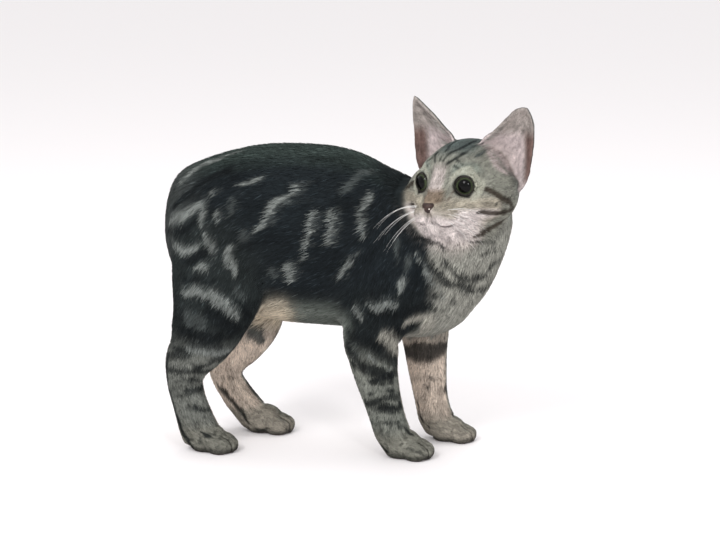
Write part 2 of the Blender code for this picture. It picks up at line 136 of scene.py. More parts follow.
# Each light: its name, its place in metres, the width of its square, and its power in watts.
LIGHTS = (
    ("key", (-0.7, -1.5, 1.5), 0.7, 22),
    ("front", (0.9, -1.7, 1.0), 0.28, 9),
    ("above", (0.1, 0.5, 1.7), 1.2, 6),
)
FLOOR_SIZE = 8
FLOOR_MIDDLE = (0, 2.0, 0)
PAPER = (0.86, 0.83, 0.838, 1)


def add_light(name, place, size, power):
    """A soft square light that looks at the middle of the cat."""
    data = bpy.data.lights.new(name, "AREA")
    data.size = size
    data.energy = power
    light = bpy.data.objects.new(name, data)
    light.location = place
    light.rotation_euler = (AIM - Vector(place)).to_track_quat("-Z", "Y").to_euler()
    bpy.context.scene.collection.objects.link(light)


def make_stage():
    """White light from all round, three soft lights and a pale floor."""
    scene = bpy.context.scene
    scene.view_settings.view_transform = "Standard"
    world = bpy.data.worlds.new("studio")
    world.use_nodes = True
    backdrop = world.node_tree.nodes["Background"]
    backdrop.inputs["Color"].default_value = (1.0, 1.0, 1.0, 1)
    backdrop.inputs["Strength"].default_value = 1.0
    scene.world = world
    for light in LIGHTS:
        add_light(*light)
    bpy.ops.mesh.primitive_grid_add(
        x_subdivisions=2, y_subdivisions=2, size=FLOOR_SIZE, location=FLOOR_MIDDLE,
    )
    floor = bpy.context.active_object
    floor.name = "floor"
    paper = bpy.data.materials.new("studio_paper")
    paper.use_nodes = True
    shader = paper.node_tree.nodes["Principled BSDF"]
    shader.inputs["Base Color"].default_value = PAPER
    shader.inputs["Roughness"].default_value = 0.9
    floor.data.materials.append(paper)


# Meshes as arrays

class Surface:
    """A mesh of triangles as arrays, in millimetres."""

    def __init__(self, points, faces):
        self.points = points
        self.faces = faces
        ends = np.concatenate([faces[:, [0, 1]], faces[:, [1, 2]], faces[:, [2, 0]]])
        self.edges = np.unique(np.sort(ends, axis=1), axis=0)
        self.count = np.bincount(self.edges.ravel(), minlength=len(points))[:, None]

    def around(self, values):
        """The mean of each point's neighbours."""
        a, b = self.edges.T
        size = len(self.points)
        total = [
            np.bincount(a, column[b], size) + np.bincount(b, column[a], size)
            for column in values.T
        ]
        return np.stack(total, 1) / self.count

    def smooth(self, values, passes, share=0.5):
        for _ in range(passes):
            values = values + share * (self.around(values) - values)
        return values

    def relax(self, share, passes):
        """Smooth the points themselves, by that share at each of them."""
        for _ in range(passes):
            moved = self.smooth(self.points, 1)
            self.points += (moved - self.points) * share[:, None]

    def normals(self):
        a, b, c = (self.points[self.faces[:, i]] for i in range(3))
        across = np.cross(b - a, c - a)
        total = np.stack([
            np.bincount(self.faces.ravel(), np.repeat(across[:, i], 3), len(self.points))
            for i in range(3)
        ], 1)
        return unit(total)

    def tree(self):
        return BVHTree.FromPolygons(self.points.tolist(), self.faces.tolist(), all_triangles=True)


def unit(vectors):
    return vectors / np.maximum(np.linalg.norm(vectors, axis=-1, keepdims=True), 1e-9)


def step(low, high, values):
    """0 under low, 1 over high, and a smooth rise between them."""
    t = np.clip((values - low) / (high - low), 0, 1)
    return t * t * (3 - 2 * t)


def arrays_of(mesh):
    mesh.calc_loop_triangles()
    points = np.empty(len(mesh.vertices) * 3, np.float32)
    mesh.vertices.foreach_get("co", points)
    faces = np.empty(len(mesh.loop_triangles) * 3, np.int32)
    mesh.loop_triangles.foreach_get("vertices", faces)
    return points.reshape(-1, 3).astype(float) / MM, faces.reshape(-1, 3)


def mesh_from(name, points, faces):
    """A smooth mesh in metres from points in millimetres."""
    mesh = bpy.data.meshes.new(name)
    mesh.vertices.add(len(points))
    mesh.vertices.foreach_set("co", (points * MM).astype(np.float32).ravel())
    mesh.loops.add(faces.size)
    mesh.loops.foreach_set("vertex_index", faces.astype(np.int32).ravel())
    mesh.polygons.add(len(faces))
    mesh.polygons.foreach_set("loop_start", np.arange(0, faces.size, 3, dtype=np.int32))
    mesh.update(calc_edges=True)
    mesh.shade_smooth()
    return mesh


def new_piece(name, mesh, material):
    mesh.name = name
    piece = bpy.data.objects.new(name, mesh)
    bpy.context.scene.collection.objects.link(piece)
    mesh.materials.clear()
    mesh.materials.append(material)
    return piece


def settled(obj):
    """The object's mesh with its modifiers applied. The object itself is removed."""
    graph = bpy.context.evaluated_depsgraph_get()
    mesh = bpy.data.meshes.new_from_object(obj.evaluated_get(graph))
    bpy.data.objects.remove(obj)
    return mesh


def set_colours(mesh, colours):
    """Colours per point, as the attribute that the coat's materials read."""
    layer = mesh.color_attributes.new("Coat", "FLOAT_COLOR", "POINT")
    rows = np.ones((len(colours), 4), np.float32)
    rows[:, :3] = np.clip(colours, 0, 1)
    layer.data.foreach_set("color", rows.ravel())


def set_values(mesh, name, values):
    layer = mesh.attributes.new(name, "FLOAT", "POINT")
    layer.data.foreach_set("value", values.astype(np.float32))


def set_map(mesh, places):
    """The map on which the coat's colours are laid out, from a place for each point."""
    layer = mesh.uv_layers.new(name="OFBake")
    corners = np.empty(len(mesh.loops), np.int32)
    mesh.loops.foreach_get("vertex_index", corners)
    layer.data.foreach_set("uv", places[corners].astype(np.float32).ravel())


# The skin

def swollen(name):
    """A copy of a node, merged and swelled by the overlap."""
    bm = bmesh.new()
    bm.from_mesh(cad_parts[name].data)
    bmesh.ops.remove_doubles(bm, verts=bm.verts, dist=1e-6)
    bm.normal_update()
    for vert in bm.verts:
        vert.co += vert.normal * OVERLAP * MM
    mesh = bpy.data.meshes.new(name + "_swollen")
    bm.to_mesh(mesh)
    bm.free()
    return mesh


def fuse(names, voxel):
    """The named nodes as one closed mesh."""
    bm = bmesh.new()
    for name in names:
        mesh = swollen(name)
        bm.from_mesh(mesh)
        bpy.data.meshes.remove(mesh)
    mesh = bpy.data.meshes.new("fused")
    bm.to_mesh(mesh)
    bm.free()
    whole = bpy.data.objects.new("fused", mesh)
    bpy.context.scene.collection.objects.link(whole)
    remesh = whole.modifiers.new("Fuse", "REMESH")
    remesh.mode = "VOXEL"
    remesh.voxel_size = voxel * MM
    return settled(whole)


def node_tree():
    """A search tree over every CAD node of flesh, with the node of each face."""
    points, faces, owner = [], [], []
    start = 0
    for number, name in enumerate(FLESH):
        some, their = arrays_of(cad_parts[name].data)
        points.append(some)
        faces.append(their + start)
        owner.extend([number] * len(their))
        start += len(some)
    points, faces = np.concatenate(points), np.concatenate(faces)
    return BVHTree.FromPolygons(points.tolist(), faces.tolist(), all_triangles=True), np.array(owner)


def nearest(tree, points):
    """Nearest place, its normal and its face, for each point."""
    found = [tree.find_nearest(point) for point in points.tolist()]
    places = np.array([row[0] for row in found])
    normals = np.array([row[1] for row in found])
    return places, normals, np.array([row[2] for row in found])


def thin_out(surface, kept_fine):
    """The same surface with fewer triangles where it isn't kept fine."""
    raw = bpy.data.objects.new("raw_skin", mesh_from("raw_skin", surface.points, surface.faces))
    bpy.context.scene.collection.objects.link(raw)
    group = raw.vertex_groups.new(name="body")
    group.add(np.flatnonzero(~kept_fine).tolist(), 1.0, "REPLACE")
    body_faces = (~kept_fine)[surface.faces].all(1).sum()
    kept = len(surface.faces) - body_faces * (1 - BODY_SHARE)
    fewer = raw.modifiers.new("Fewer", "DECIMATE")
    fewer.ratio = kept / len(surface.faces)
    fewer.vertex_group = "body"
    mesh = settled(raw)
    return Surface(*arrays_of(mesh))


# How deep the skin lies under the outside of the coat, and how the tufts there are: depth,
# length, width, tufts a square millimetre.
COAT = {
    "trunk": (2.8, 11.0, 0.95, 0.95),
    "neck": (2.4, 9.0, 0.85, 1.05),
    "limb": (2.3, 9.0, 0.85, 1.1),
    "leg": (1.6, 5.6, 0.62, 1.6),
    "paw": (0.8, 3.0, 0.48, 2.2),
    "head": (0.9, 3.6, 0.46, 2.6),
    "ear": (0.25, 2.2, 0.36, 1.8),
}
KIND = {
    "breast": "neck", "neck": "neck", "ribs": "trunk", "loin": "trunk", "rump": "trunk",
    "shoulder": "limb", "thigh": "limb", "forearm": "leg", "shank": "leg",
    "hind_foot": "leg", "fore_paw": "paw", "hind_paw": "paw", "head": "head", "ear": "ear",
}
# The lie of the coat on each node, in the row's frame. Head, neck and ears are worked out.
LIE = {
    "breast": (-0.5, 0, -0.85), "ribs": (-1, 0, -0.38), "loin": (-1, 0, -0.38),
    "rump": (-0.75, 0, -0.6), "shoulder": (-0.4, 0, -0.9), "thigh": (-0.5, 0, -0.85),
    "forearm": (-0.12, 0, -1), "shank": (-0.15, 0, -1), "hind_foot": (0.3, 0, -1),
    "fore_paw": (0.75, 0, -0.5), "hind_paw": (0.75, 0, -0.5),
}


def stem(name):
    return name.removesuffix("_left").removesuffix("_right")


def coat_value(weights, column):
    """A coat measure at each point, blended between the nodes around it."""
    return weights @ np.array([COAT[KIND[stem(name)]][column] for name in FLESH])


def lie_of(points, owner):
    """Which way the coat lies at each point, before it is laid on the skin."""
    lie = np.zeros_like(points)
    nose_tip = np.array(head_point((56, 0, -6)))
    skull = np.array(HEAD_AT)
    for number, name in enumerate(FLESH):
        mine = owner == number
        there = points[mine]
        if name == "head":
            lie[mine] = unit(there - nose_tip)
        elif name == "neck":
            lie[mine] = unit(there - skull) + (-0.35, 0, -0.45)
        elif stem(name) == "ear":
            side = 1 if name.endswith("left") else -1
            lie[mine] = head_direction((-0.15, 0.5 * side, 0.85))
        else:
            lie[mine] = LIE[stem(name)]
    behind = step(-130, -150, points[:, 0])[:, None] * (points[:, 2:] > 130)
    return lie * (1 - behind) + np.array([-0.15, 0, -1]) * behind


def tangent(directions, normals):
    return unit(directions - (directions * normals).sum(1, keepdims=True) * normals)


def noise_at(points, size, offset=0.0):
    """A soft random value from about -1 to 1, whose patches are about that many millimetres."""
    return np.array([
        noise.noise(Vector((x / size + offset, y / size - offset, z / size)))
        for x, y, z in points.tolist()
    ])


def streaks(surface, lie, rng, passes=5):
    """Random values that run together along the lie of the coat."""
    a, b = surface.edges.T
    along = unit(surface.points[b] - surface.points[a])
    pull_a = np.abs((along * lie[a]).sum(1)) ** 4
    pull_b = np.abs((along * lie[b]).sum(1)) ** 4
    size = len(surface.points)
    total = np.bincount(a, pull_a, size) + np.bincount(b, pull_b, size) + 0.3
    values = rng.standard_normal(size)
    for _ in range(passes):
        gathered = np.bincount(a, pull_a * values[b], size) + np.bincount(b, pull_b * values[a], size)
        values = (gathered + 0.3 * values) / total
    return values / values.std()


# Markings

GROUPS = {
    "flank": ("ribs", "loin", "rump", "breast"), "front": ("breast", "neck"),
    "fore": ("forearm", "fore_paw"), "hind": ("shank", "hind_foot", "hind_paw"),
    "limb": ("thigh", "shoulder"), "paws": ("fore_paw", "hind_paw"),
}
LIGHT_WIDTH = 0.9  # light marks come out this much narrower than their row says
LEG_BAR_STRETCH = (0.45, 0.45, 1.9)  # bars lie across the legs

# Colours of the coat, linear.
BLACK = (0.007, 0.009, 0.010)
SADDLE = (0.0085, 0.0115, 0.0135)
STREAK_GREY = (0.185, 0.20, 0.19)
FAINT_GREY = (0.055, 0.063, 0.062)
RUMP_GREY = (0.06, 0.066, 0.064)
FLANK_GREY = (0.15, 0.168, 0.15)
BUFF = (0.60, 0.52, 0.40)
PINK_BUFF = (0.66, 0.555, 0.465)
BREAST_PALE = (0.30, 0.30, 0.265)
LEG_GREY = (0.20, 0.21, 0.185)
SHANK_GREY = (0.165, 0.172, 0.155)
FACE_GREY = (0.235, 0.235, 0.20)
CROWN = (0.085, 0.105, 0.10)
BRIDGE = (0.20, 0.15, 0.11)
BETWEEN_EYES = (0.42, 0.37, 0.35)
ABOVE_EYE = (0.225, 0.25, 0.215)
MUZZLE = (0.67, 0.605, 0.585)
CHEEK = (0.37, 0.335, 0.27)
EAR_BACK = (0.13, 0.135, 0.125)
EAR_CUP = (0.31, 0.275, 0.255)
EAR_PINK = (0.58, 0.49, 0.49)
EAR_DARK = (0.13, 0.075, 0.065)
EAR_RIM = (0.075, 0.08, 0.072)
LID = (0.014, 0.014, 0.012)
EYE_RING = (0.46, 0.46, 0.38)
LIP = (0.045, 0.028, 0.025)
# Painted shade in the hollows and creases of the head.
HOLLOW_PAINTED_SHADE = (0.10, 0.08, 0.07)
# Painted shade in the grooves between the toes.
TOE_GAP_PAINTED_SHADE = (0.015, 0.013, 0.011)
# Painted shade: the paws darker towards the floor.
PAW_FLOOR_PAINTED_SHADE = (0.02, 0.02, 0.018)
PAD = (0.10, 0.07, 0.07)
# Painted sheen: a lighter tone where the back faces up, standing in for light on the black coat.
SPINE_PAINTED_SHEEN = (0.034, 0.046, 0.041)
UNDER_GREY = (0.12, 0.135, 0.12)
NECK_DARK = (0.010, 0.013, 0.014)
THIGH_DARK = (0.017, 0.021, 0.021)
SHOULDER_DARK = (0.011, 0.014, 0.015)
PAW_GREY = (0.19, 0.185, 0.155)
SKULL_SIDE = (0.10, 0.115, 0.11)
NAPE_GREY = (0.22, 0.235, 0.21)
WHISKER_PAD = (0.30, 0.27, 0.215)
# The colours of the marks, in the order in which they are painted.
MARKS = {
    "faint": FAINT_GREY,
    "pale": (0.36, 0.35, 0.305),
    "pink": (0.48, 0.41, 0.395),
    "light": STREAK_GREY,
    "dark": BLACK,
    "brown": (0.10, 0.05, 0.035),
    "umber": (0.035, 0.026, 0.019),
}

# The coat under its markings, painted in this order: the colour, how much of it, the part of the
# body, and the bounds. A bound is a measure, and where the colour begins and is full along it.
BODY_PATCHES = (
    # Painted sheen along the top of the back, where the surface faces up.
    (SPINE_PAINTED_SHEEN, 0.8, "flank", ("facing up", 0.55, 0.95)),
    (FLANK_GREY, 1, "flank", ("ragged height", 134, 116)),
    (UNDER_GREY, 1, "flank", ("facing up", -0.25, -0.75), ("height", 150, 125)),
    (BUFF, 1, "flank", ("facing up", -0.25, -0.75), ("height", 150, 125), ("belly edge", -40, -52)),
    (BUFF, 1, "loin", ("groin edge", -50, -62), ("height", 128, 118), ("ahead", -96, -86)),
    (RUMP_GREY, 0.8, "rump", ("ahead", -112, -150)),
    (NECK_DARK, 1, "neck"),
    (BREAST_PALE, 1, "front", ("breast edge", -4, 5), ("breast top", 0.75, 0.1)),
    (BREAST_PALE, 1, "breast", ("facing up", -0.1, -0.5)),
    (THIGH_DARK, 0.9, "thigh"),
    (SHOULDER_DARK, 1, "shoulder", ("height", 165, 130)),
    (LEG_GREY, 1, "fore"),
    (SHANK_GREY, 1, "hind"),
    (PINK_BUFF, 0.95, "fore", ("facing out", 0.1, -0.5)),
    (PINK_BUFF, 0.95, "hind", ("facing out", 0.1, -0.5)),
    (BUFF, 0.8, "limb", ("facing out", 0.1, -0.5), ("height", 150, 120)),
    (PAW_GREY, 0.8, "paws"),
)
FACE_PATCHES = (
    (FACE_GREY, 1, "head"),
    (CROWN, 1, "head", ("crown", 14, 34), ("ragged width", 26, 8)),
    (SKULL_SIDE, 1, "head", ("ahead", 2, -22), ("up", -12, 6)),
    (NAPE_GREY, 1, "head", ("ahead", -8, -26), ("up", 4, -10)),
    (ABOVE_EYE, 1, "head", ("up", 16, 22), ("up", 30, 24), ("wide", 8, 14), ("ahead", 10, 20)),
    (CHEEK, 1, "head", ("up", 4, -4), ("ahead", 8, 18)),
    (BETWEEN_EYES, 1, "head", ("ahead", 26, 31), ("wide", 8, 4), ("up", 1, 7), ("up", 30, 20)),
    (BRIDGE, 0.9, "head", ("ahead", 33, 39), ("wide", 10, 6), ("up", -5, -1), ("up", 10, 5)),
    (MUZZLE, 1, "head", ("muzzle top", -3.5, -9), ("muzzle back", 20, 30)),
    (MUZZLE, 0.9, "head", ("up", -12, -20), ("ahead", 6, 18), ("wide", 34, 20)),
    (WHISKER_PAD, 0.8, "head", ("from pad", 12, 5), ("wide", 24, 18)),
    (EAR_BACK, 1, "ear"),
    (EAR_CUP, 1, "ear", ("cup", 0.15, 0.5)),
    (EAR_PINK, 0.8, "ear", ("cup", 0.15, 0.5), ("up", 52, 40), ("wide", 54, 44)),
    (EAR_DARK, 0.9, "ear", ("cup", 0.15, 0.5), ("wide", 45, 53), ("up", 54, 40), ("up", 0, 12)),
    (EAR_RIM, 0.75, "ear", ("edge on", 0.62, 0.3), ("up", 20, 30)),
)

# Each mark: what it is, its half width, and the points it runs through, in the row's frame, on
# the cat's right side. The left side mirrors them.
FLANK_MARKS = (
    ("light", 3.4, (-141, -12, 232), (-135, -8, 239), (-124, -3, 246), (-108, -3, 251)),
    ("light", 1.7, (-114, -4, 249), (-90, 5, 259)),
    ("dark", 4.2, (-147, -23, 211), (-134, -24, 222), (-118, -21, 235), (-93, -15, 247)),
    ("light", 3.0, (-110, -27, 228), (-110, -29, 224)),
    ("light", 5.1, (-148, -25, 201), (-133, -30, 207), (-119, -30, 217)),
    ("light", 3.0, (-118, -29, 219), (-117, -35, 199)),
    ("light", 3.0, (-105, -33, 213), (-103, -35, 205)),
    ("faint", 3.0, (-93, -31, 222), (-92, -35, 209)),
    ("dark", 3.8, (-153, -20, 191), (-135, -32, 194), (-124, -34, 201)),
    ("light", 5.5, (-147, -26, 180), (-135, -32, 176), (-122, -36, 180)),
    ("light", 2.5, (-117, -35, 192), (-110, -37, 182), (-104, -39, 174)),
    ("dark", 4.2, (-138, -33, 166), (-123, -38, 171), (-114, -38, 178)),
    ("light", 3.8, (-123, -40, 165), (-112, -42, 163)),
    ("light", 3.8, (-95, -38, 182), (-94, -39, 170), (-87, -39, 160)),
    ("faint", 3.4, (-81, -38, 196), (-80, -38, 188)),
    ("dark", 3.4, (-135, -38, 155), (-118, -44, 153), (-105, -44, 154)),
    ("light", 2.5, (-67, -25, 239), (-77, -27, 235), (-87, -25, 235)),
    ("light", 3.0, (-36, -28, 235), (-44, -32, 226), (-55, -34, 219), (-60, -37, 209), (-70, -38, 198)),
    ("faint", 1.7, (-55, -34, 219), (-38, -34, 220)),
    ("light", 2.7, (-22, -33, 221), (-24, -37, 202), (-28, -39, 185), (-32, -38, 171)),
    ("light", 3.8, (-7, -34, 215), (-6, -36, 202), (-10, -38, 188)),
    ("light", 4.2, (-43, -38, 168), (-42, -35, 154)),
    ("faint", 3.4, (23, -5, 245), (11, -17, 241), (2, -27, 229)),
    ("light", 2.7, (23, -19, 231), (19, -27, 219), (17, -33, 203), (21, -34, 191)),
    ("light", 2.5, (15, -36, 182), (6, -36, 169), (-1, -34, 156)),
    ("faint", 3.4, (-58, -37, 163), (-55, -35, 156)),
    ("faint", 2.5, (46, -29, 194), (48, -33, 173)),
    ("light", 5.1, (52, -36, 160), (52, -36, 150)),
    ("faint", 3.4, (56, -31, 176), (56, -33, 166)),
)
THIGH_MARKS = (
    ("light", 4.7, (-135, -40, 143), (-118, -45, 144), (-99, -45, 135), (-87, -40, 122)),
    ("faint", 6.8, (-131, -42, 122), (-115, -45, 115)),
    ("dark", 6.8, (-113, -46, 127), (-97, -43, 118), (-88, -36, 108)),
    ("dark", 5.1, (-138, -39, 105), (-114, -43, 103), (-91, -37, 105)),
    ("light", 4.2, (-132, -41, 94), (-115, -40, 91), (-96, -30, 89)),
    ("dark", 4.2, (-81, -37, 129), (-79, -33, 120)),
    ("faint", 2.5, (-88, -42, 148), (-80, -38, 136)),
)
SHANK_MARKS = (
    ("dark", 2.7, (-128, -39, 79), (-119, -36, 76), (-110, -34, 80)),
    ("dark", 2.2, (-135, -37, 66), (-122, -28, 62)),
    ("dark", 3.0, (-151, -31, 87), (-153, -30, 69), (-152, -28, 53)),
    ("dark", 2.7, (-151, -29, 55), (-143, -30, 29), (-130, -33, 5)),
    ("dark", 2.5, (-120, -36, 18), (-111, -36, 14)),
)
SHOULDER_MARKS = (
    ("light", 3.4, (22, -37, 139), (34, -39, 136), (48, -37, 137)),
    ("dark", 5.1, (27, -39, 127), (50, -35, 129), (69, -24, 135), (78, -21, 131)),
    ("pale", 6.0, (56, -28, 121), (71, -16, 120), (66, -5, 105)),
    ("light", 3.4, (9, -31, 132), (18, -37, 125)),
    ("dark", 5.0, (48, -33, 116), (44, -22, 108)),
)
FORELEG_MARKS = (
    ("pale", 6.8, (37, -37, 112), (42, -29, 101), (46, -19, 92)),
    ("dark", 6.5, (3, -30, 109), (23, -36, 103), (38, -30, 92), (46, -15, 82)),
    ("dark", 7.0, (4, -26, 104), (12, -27, 90), (20, -26, 76)),
    ("light", 1.7, (11, -32, 94), (28, -34, 89), (42, -26, 79)),
    ("dark", 5.6, (8, -27, 82), (26, -33, 79), (43, -24, 73)),
    ("dark", 3.0, (24, -32, 69), (46, -22, 69)),
    ("dark", 3.2, (22, -30, 57), (46, -24, 61)),
    ("dark", 3.4, (19, -24, 48), (33, -30, 53)),
    ("dark", 4.2, (33, -29, 46), (51, -17, 47)),
    ("dark", 2.1, (47, -27, 32), (58, -18, 22)),
    ("dark", 2.5, (32, -23, 13), (39, -25, 6)),
)
# Marks on the inner sides of the left legs and on the front of the neck, on one side only.
INNER_MARKS = (
    ("dark", 2.5, (47, 32, 86), (58, 28, 90)),
    ("dark", 9.5, (42, 36, 80), (61, 29, 82), (80, 38, 84)),
    ("faint", 7.0, (44, 34, 99), (68, 28, 104)),
    ("light", 2.0, (48, 31, 94), (70, 28, 97)),
    ("dark", 1.4, (65, 30, 58), (76, 36, 57)),
    ("dark", 1.4, (63, 31, 50), (71, 32, 50)),
    ("dark", 2.1, (53, 37, 36), (57, 36, 24), (66, 33, 11)),
    ("dark", 2.5, (-124, 35, 44), (-109, 32, 28), (-95, 32, 11)),
    ("dark", 2.5, (-94, 33, 5), (-62, 32, 5)),
    ("faint", 6.8, (-91, 26, 95), (-82, 31, 86)),
    ("light", 2.2, (61, -29, 182), (67, -29, 173), (73, -29, 161), (81, -26, 149), (87, -23, 141)),
    ("dark", 4.0, (69, -29, 176), (80, -29, 165), (90, -27, 155), (106, -18, 150), (118, -3, 146),
     (124, 11, 152)),
    ("dark", 3.2, (83, -32, 176), (92, -30, 168), (98, -27, 161), (110, -20, 158), (119, -12, 158)),
    ("dark", 3.0, (119, -14, 162), (126, -11, 169), (131, -1, 172)),
    ("dark", 2.2, (71, -28, 153), (79, -26, 145), (84, -24, 142)),
    ("dark", 2.6, (74, -24, 137), (79, -20, 129)),
    ("dark", 2.5, (78, 35, 93), (89, 3, 109)),
    ("dark", 1.9, (91, -20, 139), (94, -17, 135)),
    ("dark", 2.5, (63, -27, 191), (80, -34, 190), (87, -34, 183)),
)
# Marks in the head's frame, on the left half. The right half mirrors them.
HEAD_MARKS = (
    ("umber", 2.7, (23, 29, 10), (20, 40, 5), (13, 46, -1), (-6, 44, -12)),
    ("umber", 3.1, (26, 31, -12), (14, 42, -14), (-8, 43, -14)),
    ("umber", 3.0, (17, 20, -35), (10, 26, -31), (1, 32, -26), (-6, 41, -19)),
    ("dark", 1.9, (17, 16, -40), (3, 26, -42), (-30, 24, -44)),
    ("dark", 1.9, (4, 20, -52), (-11, 27, -48)),
    ("brown", 1.4, (33, 13, 7), (39, 11, -1)),
    ("dark", 1.5, (26, 18, 27), (26, 9, 31)),
    ("dark", 1.4, (30, 18, 21), (30, 12, 26)),
    ("dark", 1.6, (30, 1.5, 30), (18, 4, 35), (5, 7, 38), (-12, 8, 41)),
    ("dark", 1.7, (31, 6, 28), (22, 12, 33), (4, 14, 39), (-14, 16, 40)),
    ("faint", 1.7, (12, 21, 30), (-6, 22, 36)),
    ("dark", 1.2, (17, 44, -4), (18, 43, -7)),
    ("pink", 8.0, (-9, 19, 37), (-14, 27, 30), (-16, 34, 21), (-14, 39, 14)),
    ("pink", 4.5, (-3, 25, 32), (-1, 33, 24), (-3, 39, 15)),
)
LEFT_FORE_STEP = 33.0  # how far the left foreleg stands ahead of the right one
LEFT_HIND_STEP = 26.0
MOUTH = ((57, 0, -9), (57, 0, -15), (56, 3, -19.5), (50, 9, -22.5), (44, 16, -22.5), (37, 22, -19))


def mirrored_marks(marks, shift=0.0):
    """The same marks on the left side, moved ahead by the shift."""
    return [
        (kind, width, *[(x + shift, 2 * MIDLINE_Y - y, z) for x, y, z in points])
        for kind, width, *points in marks
    ]


def head_marks(marks):
    """Marks given for the left half of the head, on both halves and in the row's frame."""
    return [
        (kind, width, *[head_point((x, side * y, z)) for x, y, z in points])
        for side in (1, -1)
        for kind, width, *points in marks
    ]


def all_marks():
    """The marks of both sides, in the row's frame."""
    return [
        *FLANK_MARKS, *THIGH_MARKS, *SHANK_MARKS, *SHOULDER_MARKS, *FORELEG_MARKS,
        *mirrored_marks(FLANK_MARKS), *mirrored_marks(THIGH_MARKS, 8), *mirrored_marks(SHOULDER_MARKS, 20),
        *mirrored_marks(SHANK_MARKS, LEFT_HIND_STEP), *mirrored_marks(FORELEG_MARKS, LEFT_FORE_STEP),
        *INNER_MARKS, *head_marks(HEAD_MARKS),
    ]


def rounded_route(points, spacing=1.2):
    """Points close together on a smooth curve through the given ones."""
    rows = np.array([tuple(point) for point in points], float)
    ends = np.vstack([2 * rows[0] - rows[1], rows, 2 * rows[-1] - rows[-2]])
    made = []
    for before, start, stop, after in zip(ends, ends[1:], ends[2:], ends[3:]):
        count = max(2, int(np.linalg.norm(stop - start) / spacing))
        t = (np.arange(count) / count)[:, None]
        made.append(0.5 * (
            2 * start + (stop - before) * t
            + (2 * before - 5 * start + 4 * stop - after) * t**2
            + (3 * start - before - 3 * stop + after) * t**3
        ))
    return np.vstack([*made, rows[-1:]])


FAR = 9.0


def distance_to(points, route, reach):
    """Distance to the route, in half widths of it, that tapers at both ends, or FAR."""
    spread = np.full(len(points), FAR)
    low, high = route.min(0) - 2.5 * reach, route.max(0) + 2.5 * reach
    near = np.flatnonzero(((points > low) & (points < high)).all(1))
    if not len(near):
        return spread
    t = np.linspace(0, 1, len(route))
    half = reach * (0.45 + 0.55 * np.sqrt(np.sin(math.pi * np.clip(t, 0.02, 0.98))))
    gaps = np.linalg.norm(points[near, None] - route[None], axis=2)
    spread[near] = (gaps / half).min(1)
    return spread


def mouth_gap(local, reach):
    """Distance to the line of the lips, in half widths of that reach."""
    return np.min([
        distance_to(local, rounded_route([(x, side * y, z) for x, y, z in MOUTH], 0.6), reach)
        for side in (1, -1)
    ], axis=0)


def blend(colours, paint, share):
    share = np.clip(share, 0, 1)[:, None]
    return colours * (1 - share) + np.array(paint) * share


def painted(colours, patches, part, measures):
    """The colours with a table of patches over them."""
    for paint, most, where, *bounds in patches:
        share = most * part[where]
        for measure, begins, full in bounds:
            share = share * step(begins, full, measures[measure])
        colours = blend(colours, paint, share)
    return colours


def ground_colours(points, normals, weights, soft):
    """The body's colours under its markings, and how much of each part is at each point."""
    x, y, z = points.T
    part = {}
    for number, name in enumerate(FLESH):
        part[stem(name)] = part.get(stem(name), 0) + weights[:, number]
    for name, others in GROUPS.items():
        part[name] = sum(part[other] for other in others)
    outward = np.where(y > MIDLINE_Y, 1, -1) * normals[:, 1] + 0.12 * soft
    measures = {
        "ahead": x, "height": z, "facing up": normals[:, 2], "facing out": outward,
        "ragged height": z + 5 * soft, "belly edge": x + 3 * soft, "groin edge": x + 4 * soft,
        "breast edge": x - 66 - 0.12 * np.abs(y - MIDLINE_Y) - 0.10 * (z - 150) + 3 * soft,
        "breast top": normals[:, 2] - 0.2 * normals[:, 0],
    }
    colours = painted(np.tile(SADDLE, (len(points), 1)), BODY_PATCHES, part, measures)
    inside = step(0.1, -0.5, outward)
    low = part["fore"] + part["hind"] + part["thigh"] * step(150, 110, z)
    bars = noise_at(points * LEG_BAR_STRETCH, 13, 5.0)
    bar_share = 0.85 * low * step(0.16, 0.30, bars) * step(18, 34, z)
    colours = blend(colours, BLACK, bar_share * (1 - 0.75 * inside))
    flecks = noise_at(points * (1, 1, 1.5), 4.0, 7.0)
    colours = blend(colours, BLACK, 0.55 * low * step(0.22, 0.42, flecks) * (1 - 0.6 * inside))
    return colours, part


def face_colours(colours, local, normals, part, soft):
    """The same colours with head and ears painted, by the place in the head's frame."""
    facing = normals @ np.array(HEAD_TURN)
    ahead, side, up = local.T
    wide = np.abs(side)
    measures = {
        "ahead": ahead, "up": up, "wide": wide, "ragged width": wide + 2 * soft,
        "crown": up - 0.45 * ahead + 2 * soft,
        "muzzle top": up + 0.10 * wide, "muzzle back": ahead + 0.25 * wide,
        "from pad": np.hypot(1.5 * (up + 9), ahead - 45),
        "cup": facing[:, 0] + 0.1 * soft + 0.5 * step(42, 34, up), "edge on": np.abs(facing[:, 0]),
    }
    return painted(colours, FACE_PATCHES, part, measures)


